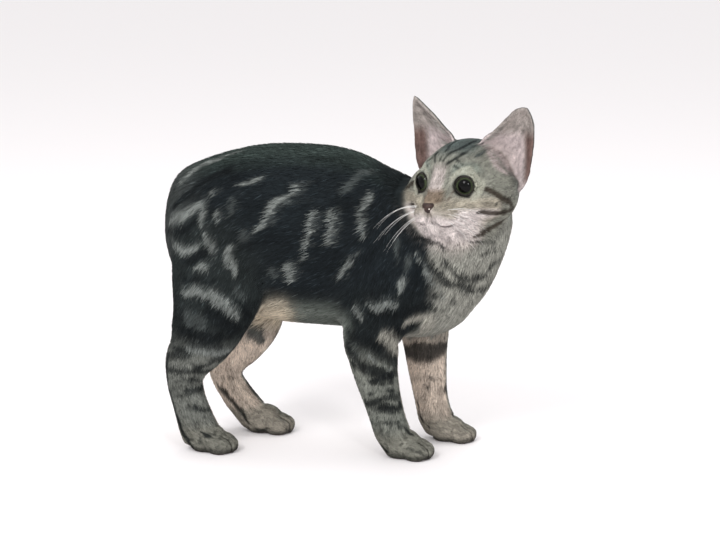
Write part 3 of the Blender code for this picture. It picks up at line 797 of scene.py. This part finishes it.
def coat_colours(points, normals, weights, streak, hollow):
    """Colours of skin and coat at the given points of the skin."""
    soft = noise_at(points, 22)
    local = in_head(points)
    colours, part = ground_colours(points, normals, weights, soft)
    colours = face_colours(colours, local, normals, part, soft)
    ragged = 0.16 * streak + 0.30 * noise_at(points, 5.5, 3.0)
    wobble = np.stack([noise_at(points, 9.0, offset) for offset in (11.0, 17.0, 23.0)], 1)
    marked = points + wobble * (3.2 - 2.2 * part["head"])[:, None]
    marked = marked + normals * (0.8 * coat_value(weights, 0))[:, None]
    share = {kind: np.zeros(len(points)) for kind in MARKS}
    for kind, width, *route in all_marks():
        edge = 0.8 if kind == "pink" else np.clip(1.4 / width, 0.3, 0.8)
        gap = distance_to(marked, rounded_route(route), width) + ragged * min(1, 2.4 / width)
        if kind == "light":
            gap = gap / LIGHT_WIDTH
        share[kind] = np.maximum(share[kind], step(1 + edge, 1 - edge, gap))
    share["pink"] *= step(-0.5, -0.2, (normals @ np.array(HEAD_TURN))[:, 0])
    for kind, paint in MARKS.items():
        colours = blend(colours, paint, 0.92 * share[kind])
    tone = 1 + 0.13 * streak + 0.22 * noise_at(points, 3.2, 9.0)
    colours = colours * np.clip(tone, 0.45, 1.8)[:, None]
    # Painted shade in the grooves between the toes.
    colours = blend(colours, TOE_GAP_PAINTED_SHADE, 0.9 * toe_gaps(points))
    # Painted shade on the paws, darker towards the floor.
    colours = blend(colours, PAW_FLOOR_PAINTED_SHADE, 0.7 * part["paws"] * step(7, 2.5, points[:, 2]))
    # Painted shade: the head darker in its hollows and creases.
    colours = blend(colours, HOLLOW_PAINTED_SHADE, 0.5 * part["head"] * step(0.06, 0.2, hollow))
    for side in EYES.values():
        gap = eye_gap(local, side)
        swing = eye_swing(local, side)
        colours = blend(colours, LID, step(15.0, 13.0, gap) * step(0.92, 0.82, swing))
        pale_ring = step(0.86, 0.98, swing) * step(1.65, 1.35, swing) * step(17, 15, gap)
        colours = blend(colours, EYE_RING, 0.65 * pale_ring * part["head"])
    colours = blend(colours, LIP, 0.95 * step(1.5, 0.8, mouth_gap(local, 2.2)))
    sole = step(1.6, 0.5, points[:, 2]) * step(-0.5, -0.8, normals[:, 2])
    return blend(colours, PAD, sole)


def eye_gap(local, side):
    """Distance of places in the head's frame from the middle of that side's eye."""
    return np.linalg.norm(local - np.array(EYE_AT) * (1, side, 1), axis=1)


def eye_swing(local, side):
    """The angle off the line of sight, in radians, of places in the head's frame."""
    ahead = unit(np.array((GAZE[0], side * GAZE[1], GAZE[2])))
    toward = unit(local - np.array(EYE_AT) * (1, side, 1))
    return np.arccos(np.clip(toward @ ahead, -1, 1))


# Paws: the middle of the sole, which way the toes point, in degrees from +X, and the size.
PAWS = (
    ((54, -14.5), -6, 1.1), ((85, 44.5), -2, 1.0), ((-114, -23.5), -6, 1.08), ((-79, 44.5), 2, 1.12),
)


def toe_gaps(points):
    """1 in the gaps between the toes and 0 off them."""
    share = np.zeros(len(points))
    for (x, y), heading, size in PAWS:
        turn = math.radians(heading)
        ahead = ((points[:, 0] - x) * math.cos(turn) + (points[:, 1] - y) * math.sin(turn)) / size
        aside = ((points[:, 1] - y) * math.cos(turn) - (points[:, 0] - x) * math.sin(turn)) / size
        for middle in (-6.3, 0.0, 6.3):
            across = np.abs(aside - middle * (0.75 + 0.25 * step(4, 16, ahead)))
            along = step(5.5, 9.5, ahead + 0.35 * np.abs(aside)) * step(24, 22, ahead)
            share = np.maximum(share, step(1.35, 0.55, across) * along * step(17, 13, points[:, 2]))
    return share


def skin_layout(surface, normals, owner):
    """Places for an unwrap of the skin: each part of the body seen from the six sides."""
    middle = surface.points[surface.faces].mean(1)
    facing = normals[surface.faces].sum(1)
    axis = np.abs(facing).argmax(1)
    toward = (facing[np.arange(len(axis)), axis] > 0).astype(int)
    chart = owner[surface.faces[:, 0]] * 6 + axis * 2 + toward
    used = np.unique(chart)
    across = math.ceil(math.sqrt(len(used)))
    cell = 1.0 / across
    corners = np.zeros((len(surface.faces), 3, 2))
    for number, one in enumerate(used):
        mine = np.flatnonzero(chart == one)
        keep = [i for i in range(3) if i != axis[mine[0]]]
        flat = surface.points[surface.faces[mine]][:, :, keep]
        low, high = flat.min((0, 1)), flat.max((0, 1))
        scaled = (flat - low) / max(high - low) * cell * 0.94 + cell * 0.03
        corners[mine] = scaled + cell * np.array([number % across, number // across])
    return corners


class Skin:
    """The skin's surface with all that the coat is laid out by."""

    def __init__(self):
        rng = np.random.default_rng(SEED)
        raw = Surface(*arrays_of(fuse([*FLESH, "nose"], SKIN_VOXEL)))
        raw.points = raw.smooth(raw.points, FIRST_SMOOTHING)
        tree, owner_of_face = node_tree()
        surface = thin_out(raw, self.fine(raw.points))
        _, _, found = nearest(tree, surface.points)
        self.owner = owner_of_face[found]
        weights = np.eye(len(FLESH))[self.owner]
        self.weights = surface.smooth(weights, 14)
        crisp = [KIND[stem(name)] in ("head", "ear", "paw") for name in FLESH]
        soft = 1 - self.weights[:, crisp].sum(1)
        surface.relax(soft, BODY_SMOOTHING)
        off_knee = np.abs(surface.points[:, 2] - KNEE_HEIGHT)
        surface.relax((surface.points[:, 0] < HIND_LEGS_BEHIND) * step(16, 8, off_knee), KNEE_SMOOTHING)
        normals = surface.normals()
        depth = coat_value(self.weights, 0) - OVERLAP * 0.6
        raised = step(1.0, 5.0, surface.points[:, 2])
        depth = depth + 1.1 * toe_gaps(surface.points)
        surface.points = surface.points - normals * (depth * raised)[:, None]
        surface.points[:, 2] = np.maximum(surface.points[:, 2], 0.05)
        self.surface = surface
        self.normals = surface.normals()
        lie = surface.smooth(lie_of(surface.points, self.owner), 16)
        self.lie = tangent(lie, self.normals)
        self.streak = streaks(surface, self.lie, rng)
        sunk = surface.smooth(surface.points, 5) - surface.points
        self.hollow = (sunk * self.normals).sum(1)
        self.colours = coat_colours(surface.points, self.normals, self.weights, self.streak, self.hollow)
        self.layout = skin_layout(surface, self.normals, self.owner)
        self.tree = surface.tree()

    @staticmethod
    def fine(points):
        """Where the skin keeps all its triangles: on the head and the paws."""
        local = in_head(points)
        on_head = (np.abs(local) < (62, 64, 200)).all(1) & (local[:, 2] > -34)
        return on_head | ((points[:, 2] < 20) & (points[:, 2] > 1.2))


def make_skin(skin, material):
    mesh = mesh_from("skin", skin.surface.points, skin.surface.faces)
    set_colours(mesh, skin.colours)
    set_values(mesh, "Streak", skin.streak)
    layer = mesh.uv_layers.new(name="OFBake")
    layer.data.foreach_set("uv", skin.layout.astype(np.float32).ravel())
    piece = new_piece("skin", mesh, material)
    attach(piece, "root")
    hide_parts(*FLESH)
    return piece


# Tufts

TUFT_FACES = np.array([
    (0, 1, 3), (0, 3, 2), (1, 4, 3), (3, 4, 2), (0, 2, 4), (0, 4, 1),
])
TUFT_SHADES = np.array([0.5, 0.85, 0.85, 0.95, 1.12])  # dark at the root and light at the tip
WIDEST_AT = 0.45  # share of a tuft's length from its root to its widest place
MOST_CLIMB = 0.12  # a tuft that rises more steeply than this out of a crease is left out
PIECE_TUFTS = 32000
PATCH = 0.003  # width of a tuft's patch on the unwrap


def make_tufts(skin, material):
    """All the tufts, spread by the density of each part and shared out over several pieces."""
    rng = np.random.default_rng(SEED + 1)
    surface = skin.surface
    faces = surface.faces
    a, b, c = (surface.points[faces[:, i]] for i in range(3))
    area = 0.5 * np.linalg.norm(np.cross(b - a, c - a), axis=1)
    density = coat_value(skin.weights, 3)[faces].mean(1) * bare_share(skin)[faces].mean(1)
    total = np.cumsum(area * density)
    count = int(total[-1])
    draws = (np.arange(count) + rng.random(count)) / count * total[-1]
    face = np.searchsorted(total, draws)
    face = face[rng.permutation(count)]
    u, v = rng.random(count), rng.random(count)
    u, v = np.where(u + v > 1, 1 - u, u), np.where(u + v > 1, 1 - v, v)
    share = np.stack([1 - u - v, u, v], 1)[:, :, None]

    def at(values):
        return (values[faces[face]] * share).sum(1)

    measures = np.stack([coat_value(skin.weights, i) for i in range(3)], 1)
    depth, length, width = at(measures).T
    root, normal = at(surface.points), unit(at(skin.normals))
    lie = tangent(at(skin.lie), normal)
    lie = tangent(lie + 0.16 * rng.standard_normal(lie.shape), normal)
    hollow = at(skin.hollow[:, None])[:, 0]
    folded = 1 - 0.65 * step(0.04, 0.25, hollow)
    length = length * at(short_share(skin)[:, None])[:, 0] * rng.uniform(0.7, 1.25, count) * folded
    width = width * rng.uniform(0.7, 1.2, count)
    lift = np.maximum(depth, 0.45) * rng.uniform(0.25, 0.85, count) * folded
    middle, up, _ = nearest(skin.tree, root + lie * (WIDEST_AT * length)[:, None])
    lie_on = tangent(lie, up)
    tip, up_tip, beyond = nearest(skin.tree, middle + lie_on * ((1 - WIDEST_AT) * length)[:, None])
    across = np.cross(up, lie_on)
    half = (0.5 * width)[:, None]
    mid = middle + up * (0.5 * lift)[:, None]
    points = np.stack([
        root - normal * 0.25,
        mid - across * half,
        mid + across * half,
        mid + up * (0.3 * width)[:, None],
        tip + up_tip * lift[:, None],
    ], 1)
    points[:, :, 2] = np.maximum(points[:, :, 2], 0.02)
    points = np.clip(points, BOX_LOW, BOX_HIGH)
    soft = unit(np.stack([
        up, up - across, up + across, up, up_tip + 0.3 * lie_on,
    ], 1))
    at_root, at_tip = at(skin.colours), skin.colours[faces[beyond]].mean(1)
    around_mid = middle + lie_on * (0.12 * length * rng.standard_normal(count))[:, None]
    at_mid = coat_colours(around_mid, up, at(skin.weights), at(skin.streak[:, None])[:, 0], hollow)
    grey = at_mid.mean(1)
    bright = np.exp(0.17 * rng.standard_normal(count))
    ticked = rng.random(count) < 0.05
    bright = np.where(ticked & (grey < 0.04), bright * rng.uniform(1.5, 2.6, count), bright)
    bright = np.where((rng.random(count) < 0.14) & (grey > 0.08), bright * 0.5, bright)
    colours = np.stack([at_root, at_mid, at_mid, at_mid, 0.5 * (at_mid + at_tip)], 1)
    colours = colours * TUFT_SHADES[:, None] * bright[:, None, None]
    place = (skin.layout[face] * share).sum(1)
    around = PATCH / 2 * np.array([(0, -1), (-1, 0), (1, 0), (0, 0.2), (0, 1)])
    places = np.clip(place[:, None] + around, 0.0005, 0.9995)
    climb = ((tip - root) * normal).sum(1) / length
    keep = climb < MOST_CLIMB
    points, soft, colours, places = points[keep], soft[keep], colours[keep], places[keep]
    count = len(points)
    pieces = math.ceil(count / PIECE_TUFTS)
    for number in range(pieces):
        mine = slice(number * count // pieces, (number + 1) * count // pieces)
        some = points[mine]
        size = len(some)
        corners = (np.arange(size)[:, None, None] * 5 + TUFT_FACES).reshape(-1, 3)
        mesh = mesh_from("coat", some.reshape(-1, 3), corners)
        set_colours(mesh, colours[mine].reshape(-1, 3))
        set_map(mesh, places[mine].reshape(-1, 2))
        mesh.normals_split_custom_set_from_vertices(soft[mine].reshape(-1, 3))
        piece = new_piece(f"coat_{number + 1}", mesh, material)
        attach(piece, "root")


def on_leather(local):
    """1 on the triangle of nose leather, in the head's frame."""
    down = np.clip((-1.5 - local[:, 2]) / 9, 0, 1)
    half = 6.4 - 4.4 * down
    wide = step(half + 0.8, half, np.abs(local[:, 1]))
    return wide * (local[:, 0] > 49) * step(-0.2, -1.2, local[:, 2]) * step(-12, -11, local[:, 2])


def bare_share(skin):
    """1 where tufts grow, and 0 on lids, lips, the leather's place and soles."""
    local = in_head(skin.surface.points)
    share = np.ones(len(local))
    for side in EYES.values():
        gap = eye_gap(local, side)
        off_lid = step(0.84, 0.92, eye_swing(local, side)) * (gap > 10.8)
        share *= np.maximum(step(12.9, 13.6, gap), off_lid)
    share *= step(0.8, 1.3, mouth_gap(local, 1.5))
    share *= 1 - on_leather(local)
    share *= step(0.4, 1.6, skin.surface.points[:, 2])
    return share


def short_share(skin):
    """How long the tufts are beside their node's own length: shorter round eyes, nose and mouth."""
    local = in_head(skin.surface.points)
    share = 0.4 + 0.6 * step(1.5, 5, mouth_gap(local, 1.3))
    for side in EYES.values():
        share = np.minimum(share, 0.45 + 0.55 * step(13, 20, eye_gap(local, side)))
    off_nose = np.linalg.norm(local - (54, 0, -6), axis=1)
    return np.minimum(share, 0.4 + 0.6 * step(8, 20, off_nose))


# Finishes

def new_material(name):
    material = bpy.data.materials.new(name)
    material.use_nodes = True
    nodes = material.node_tree.nodes
    return material, nodes, material.node_tree.links, nodes["Principled BSDF"]


def fine_hair_group():
    """Fine hair grain: a tint round 1 and a height, from two sizes of noise."""
    group = bpy.data.node_groups.new("fine_hair", "ShaderNodeTree")
    for name, kind, way, value in (
        ("Colour", "NodeSocketColor", "INPUT", (0.5, 0.5, 0.5, 1)),
        ("Scale", "NodeSocketFloat", "INPUT", 900.0),
        ("Contrast", "NodeSocketFloat", "INPUT", 0.3),
        ("Colour", "NodeSocketColor", "OUTPUT", None),
        ("Height", "NodeSocketFloat", "OUTPUT", None),
    ):
        socket = group.interface.new_socket(name, in_out=way, socket_type=kind)
        if value is not None:
            socket.default_value = value
    nodes, links = group.nodes, group.links
    given, put = nodes.new("NodeGroupInput"), nodes.new("NodeGroupOutput")
    place = nodes.new("ShaderNodeTexCoord")
    grain = nodes.new("ShaderNodeTexNoise")
    grain.inputs["Detail"].default_value = 3.0
    links.new(place.outputs["Object"], grain.inputs["Vector"])
    links.new(given.outputs["Scale"], grain.inputs["Scale"])
    tone = nodes.new("ShaderNodeMath")
    tone.operation = "MULTIPLY_ADD"
    links.new(grain.outputs["Fac"], tone.inputs[0])
    links.new(given.outputs["Contrast"], tone.inputs[1])
    rest = nodes.new("ShaderNodeMath")
    rest.operation = "MULTIPLY_ADD"
    rest.inputs[1].default_value = -0.5
    rest.inputs[2].default_value = 1.0
    links.new(given.outputs["Contrast"], rest.inputs[0])
    links.new(rest.outputs[0], tone.inputs[2])
    tinted = nodes.new("ShaderNodeVectorMath")
    tinted.operation = "SCALE"
    links.new(given.outputs["Colour"], tinted.inputs[0])
    links.new(tone.outputs[0], tinted.inputs["Scale"])
    links.new(tinted.outputs[0], put.inputs["Colour"])
    links.new(grain.outputs["Fac"], put.inputs["Height"])
    return group


def coat_material(name, group, roughness, scale, contrast, bump, streaked):
    """The coat's finish: colours from the markings, fine grain, and a soft sheen."""
    material, nodes, links, shader = new_material(name)
    colours = nodes.new("ShaderNodeAttribute")
    colours.attribute_name = "Coat"
    hair = nodes.new("ShaderNodeGroup")
    hair.node_tree = group
    hair.inputs["Scale"].default_value = scale
    hair.inputs["Contrast"].default_value = contrast
    links.new(colours.outputs["Color"], hair.inputs["Colour"])
    links.new(hair.outputs["Colour"], shader.inputs["Base Color"])
    raised = nodes.new("ShaderNodeBump")
    raised.inputs["Strength"].default_value = bump
    raised.inputs["Distance"].default_value = 0.0005
    height = hair.outputs["Height"]
    if streaked:
        streak = nodes.new("ShaderNodeAttribute")
        streak.attribute_name = "Streak"
        both = nodes.new("ShaderNodeMath")
        both.operation = "MULTIPLY_ADD"
        both.inputs[1].default_value = 0.35
        links.new(streak.outputs["Fac"], both.inputs[0])
        links.new(height, both.inputs[2])
        height = both.outputs[0]
    links.new(height, raised.inputs["Height"])
    links.new(raised.outputs["Normal"], shader.inputs["Normal"])
    shader.inputs["Roughness"].default_value = roughness
    shader.inputs["Specular IOR Level"].default_value = 0.05
    return material


def new_ramp(nodes, stops):
    """A ramp through the given places and colours."""
    ramp = nodes.new("ShaderNodeValToRGB")
    for place, _ in stops[2:]:
        ramp.color_ramp.elements.new(place)
    for element, (place, colour) in zip(ramp.color_ramp.elements, stops):
        element.position = place
        element.color = (*colour, 1)
    return ramp


def new_texture(nodes, links, kind, scale):
    """A texture of that kind, laid through the piece itself."""
    place = nodes.new("ShaderNodeTexCoord")
    texture = nodes.new(kind)
    texture.inputs["Scale"].default_value = scale
    links.new(place.outputs["Object"], texture.inputs["Vector"])
    return texture


def toned_material(name, scale, stops, roughness, specular):
    """Tones in soft patches of that scale."""
    material, nodes, links, shader = new_material(name)
    tone = new_texture(nodes, links, "ShaderNodeTexNoise", scale)
    ramp = new_ramp(nodes, stops)
    links.new(tone.outputs["Fac"], ramp.inputs["Fac"])
    links.new(ramp.outputs["Color"], shader.inputs["Base Color"])
    shader.inputs["Roughness"].default_value = roughness
    shader.inputs["Specular IOR Level"].default_value = specular
    return material, tone


def roughen(material, height, strength):
    """Relief from that height, 0.2 mm deep."""
    nodes, links = material.node_tree.nodes, material.node_tree.links
    raised = nodes.new("ShaderNodeBump")
    raised.inputs["Strength"].default_value = strength
    raised.inputs["Distance"].default_value = 0.2 * MM
    links.new(height, raised.inputs["Height"])
    links.new(raised.outputs["Normal"], nodes["Principled BSDF"].inputs["Normal"])


def eye_material():
    """A wet eye: a wide pupil, a dark green iris with fine rays, and a dark rim."""
    material, nodes, links, shader = new_material("wet_eye")
    place = nodes.new("ShaderNodeAttribute")
    place.attribute_name = "Gaze"
    apart = nodes.new("ShaderNodeSeparateXYZ")
    links.new(place.outputs["Vector"], apart.inputs[0])
    rays = nodes.new("ShaderNodeTexNoise")
    rays.inputs["Scale"].default_value = 9.0
    rays.inputs["Detail"].default_value = 4.0
    links.new(place.outputs["Vector"], rays.inputs["Vector"])
    moved = nodes.new("ShaderNodeMath")
    moved.operation = "MULTIPLY_ADD"
    moved.inputs[1].default_value = 0.10
    links.new(rays.outputs["Fac"], moved.inputs[0])
    links.new(apart.outputs["Z"], moved.inputs[2])
    ramp = new_ramp(nodes, (
        (0.0, (0.002, 0.002, 0.002)), (0.60, (0.002, 0.002, 0.002)), (0.66, (0.014, 0.018, 0.009)),
        (0.76, (0.046, 0.060, 0.030)), (0.88, (0.060, 0.075, 0.045)), (1.0, (0.010, 0.012, 0.008)),
    ))
    links.new(moved.outputs[0], ramp.inputs["Fac"])
    links.new(ramp.outputs["Color"], shader.inputs["Base Color"])
    shader.inputs["Roughness"].default_value = 0.03
    shader.inputs["Specular IOR Level"].default_value = 0.12
    return material


def lid_material(name, dark, light, roughness):
    """Skin of a lid, in two tones with a fine relief."""
    material, tone = toned_material(name, 700.0, ((0.35, dark), (0.65, light)), roughness, 0.2)
    roughen(material, tone.outputs["Fac"], 0.3)
    return material


def leather_material():
    """Nose leather: dark brown with fine pebbles, and a little moist."""
    stops = ((0.35, (0.020, 0.012, 0.010)), (0.68, (0.050, 0.027, 0.022)))
    material, _ = toned_material("nose_leather", 260.0, stops, 0.5, 0.25)
    tree = material.node_tree
    pebbles = new_texture(tree.nodes, tree.links, "ShaderNodeTexVoronoi", 1900.0)
    roughen(material, pebbles.outputs["Distance"], 0.4)
    return material


def hair_material(name, dark, light):
    """Pale hair, a little darker in patches along it."""
    return toned_material(name, 120.0, ((0.0, dark), (1.0, light)), 0.35, 0.5)[0]


# Eyes, nose and whiskers

EYE_RINGS, EYE_SECTORS = 60, 72
CORNEA = 0.8  # how far the clear front stands out
IRIS_ANGLE = 0.92  # from the middle of the pupil to the rim of the iris, in radians


def make_eye(name, side, material):
    """An eyeball of rings round the line of sight."""
    middle = np.array(head_point((EYE_AT[0], side * EYE_AT[1], EYE_AT[2])))
    ahead = unit(np.array(head_direction((GAZE[0], side * GAZE[1], GAZE[2]))))
    level = unit(np.cross((0, 0, 1), ahead))
    upward = np.cross(ahead, level)
    tilt = np.linspace(0, math.pi, EYE_RINGS + 1)[1:-1]
    turn = np.arange(EYE_SECTORS) * 2 * math.pi / EYE_SECTORS
    radius = EYE_RADIUS - 0.1 + CORNEA * np.exp(-((tilt / 0.6) ** 2))
    circle = np.cos(turn)[:, None] * level + np.sin(turn)[:, None] * upward
    rows = (
        np.cos(tilt)[:, None, None] * ahead + np.sin(tilt)[:, None, None] * circle
    ) * radius[:, None, None]
    points = np.vstack([
        middle + rows.reshape(-1, 3),
        middle + ahead * (EYE_RADIUS - 0.1 + CORNEA),
        middle - ahead * (EYE_RADIUS - 0.1),
    ])
    grid = np.arange(len(tilt) * EYE_SECTORS).reshape(len(tilt), EYE_SECTORS)
    a, b = grid[:-1], grid[1:]
    c, d = np.roll(b, -1, 1), np.roll(a, -1, 1)
    front, back = len(points) - 2, len(points) - 1
    last = np.roll(grid[-1], -1)
    first = np.roll(grid[0], -1)
    faces = np.vstack([
        np.stack([a, b, c], 2).reshape(-1, 3),
        np.stack([a, c, d], 2).reshape(-1, 3),
        np.stack([np.full(EYE_SECTORS, front), grid[0], first], 1),
        np.stack([grid[-1], np.full(EYE_SECTORS, back), last], 1),
    ])
    mesh = mesh_from(name, points, faces)
    gaze = np.zeros((len(points), 3), np.float32)
    gaze[:-2, 0] = np.tile(np.cos(turn), len(tilt))
    gaze[:-2, 1] = np.tile(np.sin(turn), len(tilt))
    gaze[:-2, 2] = np.repeat(tilt / IRIS_ANGLE, EYE_SECTORS)
    gaze[-1, 2] = math.pi / IRIS_ANGLE
    layer = mesh.attributes.new("Gaze", "FLOAT_VECTOR", "POINT")
    layer.data.foreach_set("vector", gaze.ravel())
    piece = new_piece(name + "_ball", mesh, material)
    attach(piece, "root")
    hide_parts(name)


def make_nose(material):
    """The nose leather, finer than its solid and rounded."""
    raw = Surface(*arrays_of(fuse(["nose"], 0.4)))
    local = in_head(raw.smooth(raw.points, 6))
    down = np.clip((-2.0 - local[:, 2]) / 8.5, 0, 1)
    local[:, 1] *= 1.08 - 0.62 * down
    local[:, 2] = np.minimum(local[:, 2], -1.6 + 0.25 * (local[:, 2] + 1.6))
    points = local @ np.array(HEAD_TURN).T + np.array(HEAD_AT)
    mesh = mesh_from("leather", points, raw.faces)
    piece = new_piece("leather", mesh, material)
    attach(piece, "root")
    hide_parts("nose")


def hair_tree(material):
    """Geometry nodes that turn each route into a round hair that tapers to its tip."""
    tree = bpy.data.node_groups.new("hair_from_route", "GeometryNodeTree")
    for name, kind, way in (
        ("Geometry", "NodeSocketGeometry", "INPUT"),
        ("Thickness", "NodeSocketFloat", "INPUT"),
        ("Sides", "NodeSocketInt", "INPUT"),
        ("Geometry", "NodeSocketGeometry", "OUTPUT"),
    ):
        tree.interface.new_socket(name, in_out=way, socket_type=kind)
    nodes, links = tree.nodes, tree.links
    given, put = nodes.new("NodeGroupInput"), nodes.new("NodeGroupOutput")
    curve = nodes.new("GeometryNodeMeshToCurve")
    taper = nodes.new("GeometryNodeInputNamedAttribute")
    taper.data_type = "FLOAT"
    taper.inputs["Name"].default_value = "taper"
    radius = nodes.new("GeometryNodeSetCurveRadius")
    scaled = nodes.new("ShaderNodeMath")
    scaled.operation = "MULTIPLY"
    ring = nodes.new("GeometryNodeCurvePrimitiveCircle")
    ring.inputs["Radius"].default_value = 1.0
    tube = nodes.new("GeometryNodeCurveToMesh")
    tube.inputs["Fill Caps"].default_value = True
    real = nodes.new("GeometryNodeRealizeInstances")
    finish = nodes.new("GeometryNodeSetMaterial")
    finish.inputs["Material"].default_value = material
    links.new(given.outputs["Geometry"], curve.inputs["Mesh"])
    links.new(curve.outputs["Curve"], radius.inputs["Curve"])
    links.new(taper.outputs["Attribute"], scaled.inputs[0])
    links.new(given.outputs["Thickness"], scaled.inputs[1])
    links.new(scaled.outputs[0], radius.inputs["Radius"])
    links.new(given.outputs["Sides"], ring.inputs["Resolution"])
    links.new(radius.outputs["Curve"], tube.inputs["Curve"])
    links.new(ring.outputs["Curve"], tube.inputs["Profile Curve"])
    if "Scale" in tube.inputs:
        links.new(scaled.outputs[0], tube.inputs["Scale"])
    links.new(tube.outputs["Mesh"], real.inputs["Geometry"])
    links.new(real.outputs["Geometry"], finish.inputs["Geometry"])
    links.new(finish.outputs["Geometry"], put.inputs["Geometry"])
    return tree


def hairs(name, routes, thickness, sides, material, tip=0.12):
    """Each route as one hair that tapers to its tip, all joined to one piece."""
    points, edges, taper = [], [], []
    for route in routes:
        start = len(points)
        points.extend(route.tolist())
        edges.extend((start + i, start + i + 1) for i in range(len(route) - 1))
        taper.extend(np.linspace(1, tip, len(route)).tolist())
    mesh = bpy.data.meshes.new(name + "_routes")
    mesh.from_pydata([tuple(c * MM for c in point) for point in points], edges, [])
    layer = mesh.attributes.new("taper", "FLOAT", "POINT")
    layer.data.foreach_set("value", taper)
    host = bpy.data.objects.new(name + "_routes", mesh)
    bpy.context.scene.collection.objects.link(host)
    tree = hair_tree(material)
    grown = host.modifiers.new("Hairs", "NODES")
    grown.node_group = tree
    sizes = {item.name: item.identifier for item in tree.interface.items_tree if item.in_out == "INPUT"}
    grown[sizes["Thickness"]] = thickness * MM / 2
    grown[sizes["Sides"]] = sides
    piece = new_piece(name, settled(host), material)
    piece.data.shade_smooth()
    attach(piece, "root")
    return piece


LID_WIDTH, LID_HEIGHT = 7.2, 7.5  # half width and half height of the open eye
RIM_RADIUS = 11.1
LID_RADIUS = 10.7


def lid_routes(beyond, radius):
    """Rings along both eyes' lids, that far beyond the open eye, each from its inner corner."""
    routes = []
    for side in EYES.values():
        ahead = unit(np.array((GAZE[0], side * GAZE[1], GAZE[2])))
        inward = unit(np.cross((0, 0, 1), ahead)) * -side
        upward = np.cross(ahead, inward) * -side
        turn = np.linspace(0, 2 * math.pi, 49)
        corner = np.exp(-((np.minimum(turn, 2 * math.pi - turn) / 0.34) ** 2))
        half = np.hypot(LID_WIDTH * np.cos(turn), LID_HEIGHT * np.sin(turn)) + beyond + 2.6 * corner
        tilt = np.arcsin(np.clip(half / radius, 0, 0.98))[:, None]
        circle = np.cos(turn)[:, None] * inward + np.sin(turn)[:, None] * upward
        local = (np.cos(tilt) * ahead + np.sin(tilt) * circle) * radius
        local += np.array(EYE_AT) * (1, side, 1) - upward * (1.6 * corner)[:, None]
        routes.append(local @ np.array(HEAD_TURN).T + np.array(HEAD_AT))
    return routes


def ear_hair_routes(skin):
    """Pale hairs from the front edge of each cup across its mouth."""
    rng = np.random.default_rng(SEED + 3)
    routes = []
    for side in (1, -1):
        for _ in range(70):
            climb = rng.uniform(0, 1)
            root = Vector((-5 + 2 * climb, side * (13 + 21 * climb), 32 + 22 * climb))
            start, normal, _, _ = skin.tree.find_nearest(head_point(root))
            lean = head_direction((0.28, side * rng.uniform(0.8, 1.2), rng.uniform(0.0, 0.5))).normalized()
            reach = rng.uniform(7, 13) * (1 - 0.35 * climb)
            droop = head_direction((-0.5, 0, -0.1))
            routes.append(np.array([
                tuple(start + (lean * s + droop * s * s * 0.5) * reach) for s in np.linspace(0, 1, 5)
            ]))
    return routes


def whisker_routes(skin):
    """Whiskers from both pads: rows of roots, swept back and down."""
    rng = np.random.default_rng(SEED + 2)
    routes = []
    for side in (1, -1):
        for row in range(3):
            for number in range(3 if side < 0 else 2):
                root = (46 - 3.6 * number, side * (13.5 + 1.8 * number), -8.5 - 3.2 * row)
                start, normal, _, _ = skin.tree.find_nearest(head_point(root))
                reach = rng.uniform(30, 42) if side < 0 else rng.uniform(22, 30)
                free, swept = (0.05, side, -0.05 - 0.30 * row), (-0.35, 0.8, 0.05 - 0.2 * row)
                out = head_direction(free if side < 0 else swept).normalized()
                drop = Vector((0, 0, -1)) * rng.uniform(0.35, 0.6)
                t = np.linspace(0, 1, 9)
                route = []
                for s in t:
                    rise = normal * (3.0 * math.sin(0.6 * math.pi * s) - 0.6 * (1 - s))
                    place = start + rise + (out * s + drop * s * s) * reach
                    route.append(np.clip(tuple(place), BOX_LOW + 0.3, BOX_HIGH - 0.3))
                routes.append(np.array(route))
    return routes


def main():
    make_camera()
    make_stage()
    grain = fine_hair_group()
    skin = Skin()
    under = coat_material("skin_with_down", grain, 0.75, 1400.0, 0.5, 0.5, True)
    over = coat_material("tabby_coat", grain, 0.5, 700.0, 0.25, 0.15, False)
    make_skin(skin, under)
    make_tufts(skin, over)
    eye = eye_material()
    for name, side in EYES.items():
        make_eye(name, side, eye)
    make_nose(leather_material())
    white = hair_material("white_hair", (0.50, 0.49, 0.47), (0.88, 0.87, 0.85))
    hairs("whiskers", whisker_routes(skin), 0.34, 6, white)
    greyish = hair_material("ear_hair", (0.22, 0.21, 0.19), (0.48, 0.45, 0.42))
    hairs("ear_hair", ear_hair_routes(skin), 0.22, 3, greyish)
    bare = lid_material("lid_rim", (0.006, 0.006, 0.005), (0.030, 0.024, 0.019), 0.42)
    hairs("lid_rims", lid_routes(0.0, RIM_RADIUS), 1.2, 10, bare, tip=1.0)
    downy = lid_material("downy_lid", (0.10, 0.10, 0.08), (0.34, 0.34, 0.275), 0.8)
    hairs("lids", lid_routes(1.7, LID_RADIUS), 3.0, 12, downy, tip=1.0)


main()
